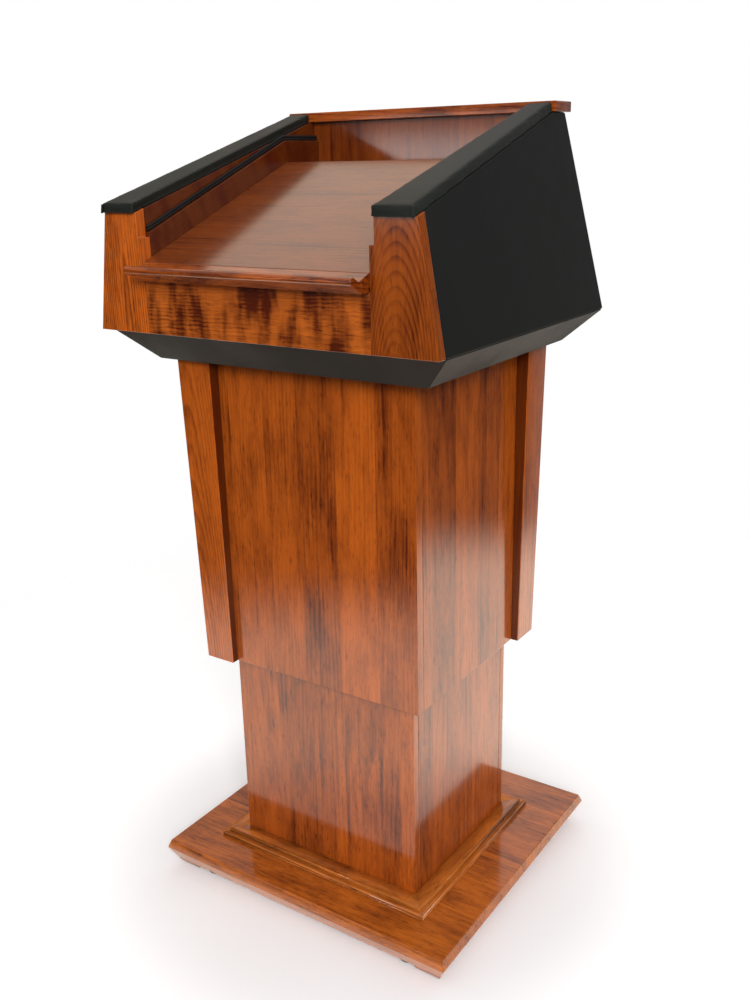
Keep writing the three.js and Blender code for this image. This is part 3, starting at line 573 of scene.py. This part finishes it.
def speckled(name, dark, pale, roughness, scale, strength=0.2, metallic=0.0):
    """A skin with a fine bump and a slow change of colour."""
    material, tree, shader = new_finish(name)
    place = wire(tree, "ShaderNodeTexCoord").outputs["Object"]
    skin = place_group(tree, speckle, {"Vector": place, "Scale": scale})
    bump = wire(tree, "ShaderNodeBump", {
        "Height": skin["Fine"], "Strength": strength, "Distance": SPECKLE_DEPTH})
    feed(tree, shader, {
        "Base Color": blend_colour(tree, skin["Slow"], dark, pale),
        "Normal": bump.outputs[0],
        "Roughness": remap(tree, skin["Slow"], 0.3, 0.7, roughness, roughness + 0.12),
        "Metallic": metallic})
    return material


moulded = speckled("moulded_plastic", (0.012, 0.012, 0.012, 1), (0.022, 0.022, 0.022, 1), 0.45, 1400)
nylon = speckled("nylon", (0.010, 0.010, 0.011, 1), (0.018, 0.018, 0.019, 1), 0.38, 900)
powder_coat = speckled("powder_coat", (0.26, 0.27, 0.28, 1), (0.36, 0.37, 0.38, 1), 0.5, 1100, 0.35)
bare_pin = speckled("plated_pin", (0.55, 0.52, 0.45, 1), (0.72, 0.69, 0.62, 1), 0.25, 1600, 0.1, 1.0)
print("finishes:", len(bpy.data.materials))

# %% [markdown]
# ## Easing the edges
# No board leaves a workshop with a knife edge: each is sanded to a small round, and that round
# catches a thin line of light. The frame's solids have sharp edges and loose triangles, so a copy
# of each is merged, its flat faces are joined back into whole ones, and the edges that turn a
# corner are bevelled. A Bevel modifier would do it too, but only on a mesh that is already clean.

# %% Edge easing
WELD = 0.02 * MM
FLAT_ENOUGH = math.radians(0.5)


def new_piece(name, bm, material, node=None, body=None):
    """Turns a bmesh into a piece that rides on a body and may stand for a node."""
    mesh = bpy.data.meshes.new(name)
    bm.to_mesh(mesh)
    bm.free()
    mesh.materials.append(material)
    mesh.shade_smooth()
    piece = bpy.data.objects.new(name, mesh)
    SCENE.collection.objects.link(piece)
    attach(piece, body or NODES[node]["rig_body"])
    if node:
        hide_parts(node)
    even = piece.modifiers.new("even_shading", "WEIGHTED_NORMAL")
    even.keep_sharp = True
    return piece


def merged_copy(node):
    """A bmesh of a node's solid with shared corners and whole flat faces."""
    bm = bmesh.new()
    bm.from_mesh(NODES[node].data)
    bmesh.ops.remove_doubles(bm, verts=bm.verts, dist=WELD)
    bmesh.ops.dissolve_limit(bm, angle_limit=FLAT_ENOUGH, verts=bm.verts, edges=bm.edges,
                             use_dissolve_boundaries=False)
    return bm


def ease(bm, radius, segments=2, turn=25):
    """Rounds the edges where the surface turns by more than an angle."""
    sharp = [e for e in bm.edges if len(e.link_faces) == 2 and e.calc_face_angle() > math.radians(turn)]
    bmesh.ops.bevel(bm, geom=sharp, offset=radius, segments=segments, profile=0.5, affect="EDGES",
                    material=-1, clamp_overlap=True)


def eased_board(node, material, radius, segments=2):
    """Stands an eased copy in for a node."""
    bm = merged_copy(node)
    ease(bm, radius, segments)
    return new_piece(node + "_eased", bm, material, node=node)

# %% [markdown]
# ## Base
# The base board, its corner feet, the lower column and the sleeve that slides over it are all
# plain boards, so each is only eased. One material on all of them would be simpler, but the grain
# would run on from board to board, so every board gets its own, which is the same cherry cut from
# another place in the tree. The faces in the narrow inside corner of a corner pilaster get a much
# darker cut, which is painted shade for that corner.

# %% Base and column boards
EASE, FINE_EASE = 1.1 * MM, 0.8 * MM
BASE_EASE, PILASTER_EASE = 1.6 * MM, 1.4 * MM
WHOLE_BOARD = 2.0
FACES_INWARD = 0.95

eased_board("base_board", cherry("base_cherry", "YZX", (0.31, 0.02, 0.0), plank=0.16, **{
    "Arch": 0.02, "Off Centre": 0.2, "Seed": 0.35, "Ring Strength": 0.14, "Tone Spread": 0.2,
    "Cloud": 0.45, "Streak": 0.15, "Light": (0.62, 0.155, 0.015, 1)}), BASE_EASE, 3)

for end, spin in (("front", 0.0), ("back", 1.3)):
    for side, turn in (("left", 0.0), ("right", 0.7)):
        foot = cherry(f"foot_cherry_{end}_{side}", "YZX", (spin, turn, 0.2), plank=0.3,
                      **{"Ring Strength": 0.3, "Cloud": 0.5})
        eased_board(f"corner_foot_{end}_{side}", foot, FINE_EASE)

PANEL_LOOK = {"Arch": 0.02, "Ring Spacing": 0.0055, "Ring Strength": 0.16, "Tone Spread": 0.36,
              "Cloud": 0.40, "Off Centre": 0.22, "Streak": 0.34}
FACING = {"front": ("XYZ", 0.0), "back": ("XYZ", 0.4), "left": ("YXZ", 0.9), "right": ("YXZ", 1.7)}
for side, (grain, shift) in FACING.items():
    lower = cherry(f"lower_cherry_{side}", grain, (0.02, 0.015, shift), plank=0.062,
                   **{**PANEL_LOOK, "Seed": 3.1 + shift})
    eased_board(f"lower_panel_{side}", lower, EASE)
    sleeve = cherry(f"sleeve_cherry_{side}", grain, (0.05, 0.03, shift + 2.2), plank=0.075,
                    **{**PANEL_LOOK, "Seed": 7.4 + shift})
    eased_board(f"sleeve_panel_{side}", sleeve, EASE)

for corner, shift in (("front_left", 0.0), ("back_right", 0.15)):
    pilaster = cherry(
        f"pilaster_cherry_{corner}", "XYZ", (0.225, 0.200, -0.62 + shift), plank=WHOLE_BOARD, **{
            "Arch": 0.10, "Sawn": 0.0, "Ring Spacing": 0.0050, "Ring Strength": 0.32,
            "Tone Spread": 0.0, "Cloud": 0.35})
    leg = eased_board(f"corner_pilaster_{corner}", pilaster, PILASTER_EASE, 3)
    # A much darker cherry on the inward faces: painted shade in the pilaster's inside corner.
    leg.data.materials.append(cherry(
        f"pilaster_painted_shade_{corner}", "XYZ", (0.1, 0.2, shift), plank=WHOLE_BOARD, **shade(0.22)))
    inward = Vector((1, 1, 0)) if corner == "front_left" else Vector((-1, -1, 0))
    for face in leg.data.polygons:
        if face.normal.dot(inward) > FACES_INWARD:
            face.material_index = 1

# %% [markdown]
# ## Head
# The head's boards follow the same recipe. The rail and the inner walls are cut from rippled
# stock, whose dark bars cross the grain. The right post is cut near the heart, so its rings show as
# tall arches, and the left one further out, so they run nearly straight. The desk could take its
# grain level like the shelf, but a sloping board is sawn along its slope, so its grain is tilted.

# %% Head boards
def top_of_end(node, low_end):
    """The highest point of a node's front or back end."""
    points = [v.co for v in NODES[node].data.vertices]
    end = min(p.y for p in points) if low_end else max(p.y for p in points)
    return max((p for p in points if abs(p.y - end) < 0.1 * MM), key=lambda p: p.z)


desk_front, desk_bend = top_of_end("desk_board", True), top_of_end("desk_board", False)
DESK_SLOPE = (desk_bend.z - desk_front.z) / (desk_bend.y - desk_front.y)
DESK_ANGLE = math.atan(DESK_SLOPE)
print("desk slope:", round(math.degrees(DESK_ANGLE), 1), "degrees")

POST_EASE, CAP_EASE = 1.3 * MM, 1.5 * MM
RIPPLE_LOOK = {"Ripple Strength": 0.85, "Waver": 0.005, "Arch": 0.02, "Off Centre": 0.3,
               "Ring Spacing": 0.004, "Streak": 0.1, "Ring Strength": 0.24, "Cloud": 0.2,
               "Tone Spread": 0.0}
RAIL_LOOK = {**RIPPLE_LOOK, "Light": (0.56, 0.130, 0.015, 1)}
# The inner walls get a much darker colour, and the inner back, desk and shelf a darker one: painted shade
# for the inside of the head.
LINER_LOOK_IN_PAINTED_SHADE = {**RIPPLE_LOOK, **shade(0.24)}
ARCH_LOOK = {"Sawn": 0.0, "Ring Spacing": 0.0042, "Ring Strength": 0.46, "Tone Spread": 0.0,
             "Cloud": 0.40}
INNER_PAINTED_SHADE = shade(0.46)
DESK_LOOK = {"Arch": 0.045, "Sawn": 0.0, "Ring Spacing": 0.006, "Ring Strength": 0.36,
             "Tone Spread": 0.15, "Cloud": 0.35, **INNER_PAINTED_SHADE}
# Each post's place across and along the tree, how light its colour is, and how far its rings arch.
POSTS = {"left": (0.25, -0.82, 1.25, 0.03), "right": (-0.245, -0.97, 0.62, 0.24)}

rail = cherry("rail_cherry", "ZYX", (0.1, 0.02, 0.3), plank=0.5, **RAIL_LOOK)
eased_board("fascia_rail", rail, EASE)
for side, (heart, root, lightness, arch) in POSTS.items():
    post = cherry(f"post_cherry_{side}", "XYZ", (heart, 0.272, root), **{
        **ARCH_LOOK, **shade(lightness), "Arch": arch})
    eased_board(f"fascia_post_{side}", post, POST_EASE, 3)
    for level, lift in (("lower", 0.0), ("upper", 0.37)):
        wall = cherry(f"liner_cherry_{level}_{side}", "ZXY", (0.03, lift, heart + lift),
                      tilt=-DESK_ANGLE, plank=0.5, **LINER_LOOK_IN_PAINTED_SHADE)
        eased_board(f"liner_{level}_{side}", wall, FINE_EASE)

inner_back = cherry("inner_back_cherry", "XYZ", (0.4, 0.1, 0.8), plank=0.09, **{
    "Ring Strength": 0.2, "Tone Spread": 0.3, "Seed": 5.5, "Arch": 0.02, **INNER_PAINTED_SHADE})
eased_board("inner_back_panel", inner_back, FINE_EASE)
desk_turned = Matrix.Rotation(-DESK_ANGLE, 3, "X") @ desk_front
desk_shift = Vector((0.06, -0.04, 0)) - Vector((0, desk_turned.y, desk_turned.z))
desk = cherry("desk_cherry", "YZX", desk_shift, tilt=-DESK_ANGLE, plank=WHOLE_BOARD, gloss=0.16,
              **DESK_LOOK)
eased_board("desk_board", desk, FINE_EASE)
shelf = cherry("shelf_cherry", "YZX", (0.3, 0.0, 0.1), plank=0.2, **DESK_LOOK)
eased_board("desk_shelf", shelf, FINE_EASE)
lip = cherry("lip_cherry", "YZX", (0.8, 0.1, 0.0), plank=0.3, **{"Ring Strength": 0.3, "Cloud": 0.5})
eased_board("desk_lip", lip, FINE_EASE)
cap = cherry("cap_cherry", "YZX", (0.5, 0.3, 0.0), plank=0.3, **{"Ring Strength": 0.3, "Cloud": 0.6})
eased_board("cap_bar", cap, CAP_EASE, 3)

# %% [markdown]
# ## Moulding round the column's foot
# A machined moulding: a flat shelf, a small round shoulder, a hollow, and a bead along its outer
# edge. A curve swept round the column would give all four sides at once, but its corners would be
# one piece. So the section is drawn once with arcs, extruded along each side, and cut at 45
# degrees where two lengths meet, as a picture framer would do it.

# %% Moulding
BEAD_RADIUS, HOLLOW_RADIUS, SHOULDER_RADIUS = 3.4, 2.6, 2.6
BEAD_HEIGHT, BEAD_IN = 5.2, 3.6
HOLLOW_IN, HOLLOW_DOWN = 7.4, 4.6
SHOULDER_IN = 12.6
FOOT_CHAMFER, FOOT_HEIGHT = 0.6, 2.4


def arc(centre, radius, start, end, steps):
    """Points on an arc, its angles in degrees."""
    angles = [math.radians(start + (end - start) * i / steps) for i in range(steps + 1)]
    return [(centre[0] + radius * math.cos(a), centre[1] + radius * math.sin(a)) for a in angles]


def moulding_section(width, height):
    """Section in mm as (distance out, height), from the column's face out and back over the top."""
    section = [(0, 0), (width - FOOT_CHAMFER, 0), (width, FOOT_CHAMFER), (width, FOOT_HEIGHT)]
    section += arc((width - BEAD_IN, BEAD_HEIGHT), BEAD_RADIUS, -50, 95, 8)
    section += arc((width - HOLLOW_IN, height - HOLLOW_DOWN), HOLLOW_RADIUS, 250, 170, 6)
    section += arc((width - SHOULDER_IN, height - SHOULDER_RADIUS), SHOULDER_RADIUS, 5, 90, 5)
    section += [(0, height)]
    return section


TURNS = {"front": 0, "right": 1, "back": 2, "left": 3}
MOULDING_LOOK = {"Ring Strength": 0.25, "Cloud": 0.35, "Tone Spread": 0.1,
                 "Light": (0.66, 0.190, 0.026, 1)}

for side, quarter in TURNS.items():
    low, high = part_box(f"base_trim_{side}")
    size = high - low
    length, width = (size.x, size.y) if quarter % 2 == 0 else (size.y, size.x)
    bm = bmesh.new()
    points = [(out * MM, up * MM) for out, up in moulding_section(width / MM, size.z / MM)]
    ring = [bm.verts.new((-length / 2, -out, up)) for out, up in points]
    cap = bm.faces.new(ring)
    grown = bmesh.ops.extrude_face_region(bm, geom=[cap])["geom"]
    far_end = [g for g in grown if isinstance(g, bmesh.types.BMVert)]
    bmesh.ops.translate(bm, vec=(length, 0, 0), verts=far_end)
    for way in (-1, 1):
        cut = bmesh.ops.bisect_plane(
            bm, geom=bm.verts[:] + bm.edges[:] + bm.faces[:], dist=1e-6,
            plane_co=(way * length / 2, -width, 0), plane_no=(way, 1, 0), clear_outer=True)
        mitre = [g for g in cut["geom_cut"] if isinstance(g, bmesh.types.BMEdge)]
        bmesh.ops.holes_fill(bm, edges=mitre)
    turn = Matrix.Rotation(quarter * math.pi / 2, 3, "Z")
    bmesh.ops.rotate(bm, verts=bm.verts, matrix=turn)
    middle = (low + high) / 2
    outward = turn @ Vector((0, -1, 0))
    place = Vector((middle.x, middle.y, low.z)) - outward * (width / 2)
    bmesh.ops.translate(bm, verts=bm.verts, vec=place)
    bmesh.ops.recalc_face_normals(bm, faces=bm.faces)
    grain = "YZX" if quarter % 2 == 0 else "XZY"
    strip = cherry(f"moulding_cherry_{side}", grain, (0.2 * quarter, 0.3, 0.1), plank=0.4, gloss=0.14,
                   **MOULDING_LOOK)
    new_piece(f"foot_moulding_{side}", bm, strip, node=f"base_trim_{side}")
print("moulding:", len(TURNS), "lengths")

# %% [markdown]
# ## Upholstered panels
# The head's sides, back and skirt are boards wrapped in vinyl. The wrap rounds their edges more
# than sanding rounds a wooden one, and at the skirt's mitres two rounded edges meet in a dark
# groove. The vinyl is glued flat on the board, so its faces stay flat and the leather grain alone
# gives them life. A cloth simulation would add folds that a glued wrap doesn't have.

# %% Panels
VINYL, PLASTIC, STEEL, GLIDE, STRIP, ARM = (
    "vinyl_panel", "black_plastic", "steel", "glide", "ledge_strip", "armrest_vinyl")
WRAP_EASE, SKIRT_EASE, FLOOR_EASE = 2.4 * MM, 2.2 * MM, 1.0 * MM

for node in ("side_panel_left", "side_panel_right", "back_panel"):
    eased_board(node, panel_vinyl, WRAP_EASE, 4)
for side in TURNS:
    eased_board(f"skirt_{side}", panel_vinyl, SKIRT_EASE, 4)
eased_board("head_floor", panel_vinyl, FLOOR_EASE)

# %% [markdown]
# ## Armrests
# Each armrest is a thin board with a little foam on top, wrapped tight in vinyl and screwed down. A
# block with rounded edges would look hard. Here the solid is remeshed into small even squares and
# inflated as cloth for a few frames, which crowns the top and softens the corners in the way
# stretched vinyl does. How far a point may move is capped, so the pad keeps its size, and the
# underside is left where it is, flat on the wall.

# %% Armrest pads
PAD_VOXEL = 2.5 * MM
PAD_SHRINK = 0.5 * MM
PAD_CAP = 1.0 * MM
PAD_PRESSURE = 4
PAD_QUALITY = 6
PAD_STEPS = 20
FACES_DOWN = -0.3


def even_squares(piece, size):
    """Replaces a piece's mesh with a voxel remesh of it."""
    remesh = piece.modifiers.new("even_squares", "REMESH")
    remesh.mode = "VOXEL"
    remesh.voxel_size = size
    bpy.context.view_layer.update()
    finished = piece.evaluated_get(bpy.context.evaluated_depsgraph_get())
    piece.data = bpy.data.meshes.new_from_object(finished)
    piece.modifiers.clear()


def take_in(piece, distance):
    """Draws the sides and top in a little and rounds them; returns which points lie underneath."""
    bm = bmesh.new()
    bm.from_mesh(piece.data)
    under = {v.index for v in bm.verts if v.normal.z < FACES_DOWN}
    wrapped = [v for v in bm.verts if v.index not in under]
    for vertex, normal in [(v, v.normal.copy()) for v in wrapped]:
        vertex.co -= normal * distance
    bmesh.ops.smooth_vert(bm, verts=wrapped, factor=0.5, use_axis_x=True, use_axis_y=True,
                          use_axis_z=True)
    bm.to_mesh(piece.data)
    bm.free()
    return under


def inflate(piece, cap, fixed):
    """Swells a closed mesh with cloth pressure; fixed points stay, and others move up to the cap."""
    start = [v.co.copy() for v in piece.data.vertices]
    cloth = piece.modifiers.new("cloth", "CLOTH")
    cloth.settings.use_pressure = True
    cloth.settings.uniform_pressure_force = PAD_PRESSURE
    cloth.settings.effector_weights.gravity = 0
    cloth.settings.quality = PAD_QUALITY
    for step in range(1, PAD_STEPS + 1):
        SCENE.frame_set(step)
    swollen = piece.evaluated_get(bpy.context.evaluated_depsgraph_get()).data
    ends = [v.co.copy() for v in swollen.vertices]
    piece.modifiers.remove(cloth)
    SCENE.frame_set(1)
    for vertex, old, new in zip(piece.data.vertices, start, ends):
        move = new - old
        if move.length > cap:
            move *= cap / move.length
        vertex.co = old if vertex.index in fixed else old + move


for side in ("left", "right"):
    node = f"armrest_{side}"
    bm = merged_copy(node)
    bmesh.ops.triangulate(bm, faces=bm.faces)
    pad = new_piece(f"{node}_pad", bm, arm_vinyl, node=node)
    pad.modifiers.clear()
    even_squares(pad, PAD_VOXEL)
    underside = take_in(pad, PAD_SHRINK)
    pad.data.shade_smooth()
    inflate(pad, PAD_CAP, underside)
    finer = pad.modifiers.new("finer", "SUBSURF")
    finer.levels = finer.render_levels = 1
    print(pad.name, len(pad.data.vertices), "points")

# %% [markdown]
# Where the wrap turns the armrest's front corner, the spare vinyl is folded flat and glued down. The
# fold is a thin flap on the end face, so it is a small plate with rounded edges. It could be drawn
# with a bump texture, but from the side a real fold stands out from the corner.

# %% Corner folds
FOLD_WIDTH, FOLD_DEPTH = 4.5 * MM, 1.6 * MM
FOLD_PROUD, FOLD_EASE = 0.9 * MM, 0.3 * MM
FOLD_BELOW_TOP, FOLD_ABOVE_FOOT, FOLD_IN = 1.0 * MM, 0.4 * MM, 0.8 * MM
SAME_PLACE = 0.1 * MM
FOLD_SIDES = {"left": -1, "right": 1}

for side, way in FOLD_SIDES.items():
    node = f"armrest_{side}"
    face_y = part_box(node)[0].y
    front = [v.co for v in NODES[node].data.vertices if v.co.y < face_y + SAME_PLACE]
    low, high = min(p.z for p in front), max(p.z for p in front)
    outer = max(p.x * way for p in front)
    outer_top = max(p.x * way for p in front if p.z > high - SAME_PLACE)
    bm = bmesh.new()
    bmesh.ops.create_cube(bm, size=1.0)
    for vertex in bm.verts:
        at_top, at_outside, at_front = vertex.co.z > 0, vertex.co.x > 0, vertex.co.y < 0
        edge, z = (outer_top, high - FOLD_BELOW_TOP) if at_top else (outer, low + FOLD_ABOVE_FOOT)
        x = edge - FOLD_IN if at_outside else edge - FOLD_WIDTH
        y = face_y - FOLD_PROUD if at_front else face_y - FOLD_PROUD + FOLD_DEPTH
        vertex.co = (x * way, y, z)
    bmesh.ops.recalc_face_normals(bm, faces=bm.faces)
    ease(bm, FOLD_EASE, 3)
    new_piece(f"armrest_fold_{side}", bm, arm_vinyl, body="head")
print("folds:", len(FOLD_SIDES))

# %% [markdown]
# ## Ledge beads
# Two round beads of vinyl lie one above the other along the foot of each upper wall, up the slope
# and on along the level part. Each is a circle set at the start, the bend and the end of its run,
# with the rings bridged. A curve with a round bevel would also work, but it thins at a sharp bend,
# while a ring turned to the mitre keeps its thickness.

# %% Ledge beads
def bead(bm, radius, path, sides=12):
    """Sweeps a circle along straight runs that lie in one upright plane."""
    runs = [(b - a).normalized() for a, b in zip(path, path[1:])]
    across = Vector((1, 0, 0))
    rings = []
    for i, point in enumerate(path):
        before, after = runs[max(i - 1, 0)], runs[min(i, len(runs) - 1)]
        along = (before + after).normalized()
        normal = across.cross(along) / along.dot(before)
        turn = Matrix((across, -normal, along)).transposed().to_4x4()
        ring = bmesh.ops.create_circle(
            bm, segments=sides, radius=radius, cap_ends=i in (0, len(path) - 1),
            matrix=Matrix.Translation(point) @ turn)
        rings.append({e for v in ring["verts"] for e in v.link_edges})
    for first, second in zip(rings, rings[1:]):
        bmesh.ops.bridge_loops(bm, edges=list(first | second))


for side in ("left", "right"):
    low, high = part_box(f"ledge_strip_{side}")
    radius = (high.x - low.x) / 2
    x = (low.x + high.x) / 2
    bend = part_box("desk_shelf")[0].y
    level = top_of_end(f"ledge_strip_{side}", False).z
    start = top_of_end(f"ledge_strip_{side}", True).z
    bm = bmesh.new()
    for drop in (radius, 3 * radius):
        bead(bm, radius, [Vector((x, low.y, start - drop)), Vector((x, bend, level - drop)),
                          Vector((x, high.y, level - drop))])
    bmesh.ops.recalc_face_normals(bm, faces=bm.faces)
    new_piece(f"ledge_beads_{side}", bm, bead_vinyl, node=f"ledge_strip_{side}")
print("bead radius:", round(radius / MM, 2), "mm")

# %% [markdown]
# ## Small parts
# The glides and guide pads are nylon, and the switch, inlet and control box are moulded plastic.
# The inlet's three pins are plated, so their faces get a second material. The lifting tubes are
# powder coated. All of them are simple shapes that only need the sharpness taken off.

# %% Small parts
SMALL_PARTS = [
    (moulded, PLASTIC, 0.5, ["switch_housing", "control_box", "switch_rocker"]),
    (nylon, GLIDE, 0.6, ["guide_pad_left", "guide_pad_right"]),
    (nylon, GLIDE, 0.4, ["glide_front_left", "glide_front_right",
                         "glide_back_left", "glide_back_right"]),
    (powder_coat, STEEL, 0.8, ["lift_foot_plate", "lift_outer_tube", "lift_middle_tube",
                               "lift_inner_tube", "lift_top_plate"]),
]
for finish, slot, radius, names in SMALL_PARTS:
    for node in names:
        eased_board(node, finish, radius * MM)

PIN_PLACES = (-7 * MM, 0.0, 7 * MM)
PIN_HALF = 1.05 * MM
PIN_START, PIN_END = 20 * MM, 6 * MM
PIN_FACE = 40 * MM * MM
INLET_EASE = 0.4 * MM

socket = eased_board("power_inlet", moulded, INLET_EASE)
socket.data.materials.append(bare_pin)
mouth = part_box("power_inlet")[1].y
for face in socket.data.polygons:
    middle = face.center
    on_pin = any(abs(middle.x - x) < PIN_HALF for x in PIN_PLACES)
    if on_pin and mouth - PIN_START < middle.y < mouth - PIN_END and face.area < PIN_FACE:
        face.material_index = 1
print("plated faces:", sum(face.material_index for face in socket.data.polygons))

# %% [markdown]
# The switch says which way is up with two small printed triangles, one at each end of the rocker.
# Print has no thickness to speak of, but a pair of very thin plates keeps a crisp edge that a
# painted mask would blur.

# %% Switch arrows
ARROW_RADIUS, ARROW_RAISE = 2.0 * MM, 0.15 * MM
ARROW_OUT, ARROW_SUNK = 4.2 * MM, 0.45 * MM
ROCKER_LEAN = 0.23

print_white = speckled("printed_white", (0.55, 0.55, 0.53, 1), (0.7, 0.7, 0.68, 1), 0.5, 1200, 0.05)
rocker_low, rocker_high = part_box("switch_rocker")
rocker_middle = (rocker_low + rocker_high) / 2
up_slope = Vector((0, -math.sin(DESK_ANGLE), math.cos(DESK_ANGLE)))
along_slope = Vector((0, math.cos(DESK_ANGLE), math.sin(DESK_ANGLE)))
bm = bmesh.new()
for way in (1, -1):
    place = rocker_middle + up_slope * way * ARROW_OUT
    place.x = rocker_low.x + ARROW_SUNK
    normal = (Vector((-1, 0, 0)) - up_slope * way * ROCKER_LEAN).normalized()
    turn = Matrix((normal.cross(along_slope) * -way, along_slope * -way, normal)).transposed().to_4x4()
    bmesh.ops.create_cone(bm, cap_ends=True, segments=3, radius1=ARROW_RADIUS, radius2=ARROW_RADIUS,
                          depth=2 * ARROW_RAISE, matrix=Matrix.Translation(place) @ turn)
bmesh.ops.recalc_face_normals(bm, faces=bm.faces)
new_piece("switch_arrows", bm, print_white, body="switch")
print("arrows on the rocker at z", round(rocker_middle.z, 3))

# %% [markdown]
# ## Finish
# Finishing work can make a piece grow, as a swollen pad does, and the lectern has to keep the size
# that its carpentry has. The script could stop when the two sizes differ, but it only gathers both,
# the frame's and the finished pieces', in one table.

# %% Finish
size = {"cad": [list(corner) for corner in CAD_BOX], "visual": [list(corner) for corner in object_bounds()]}
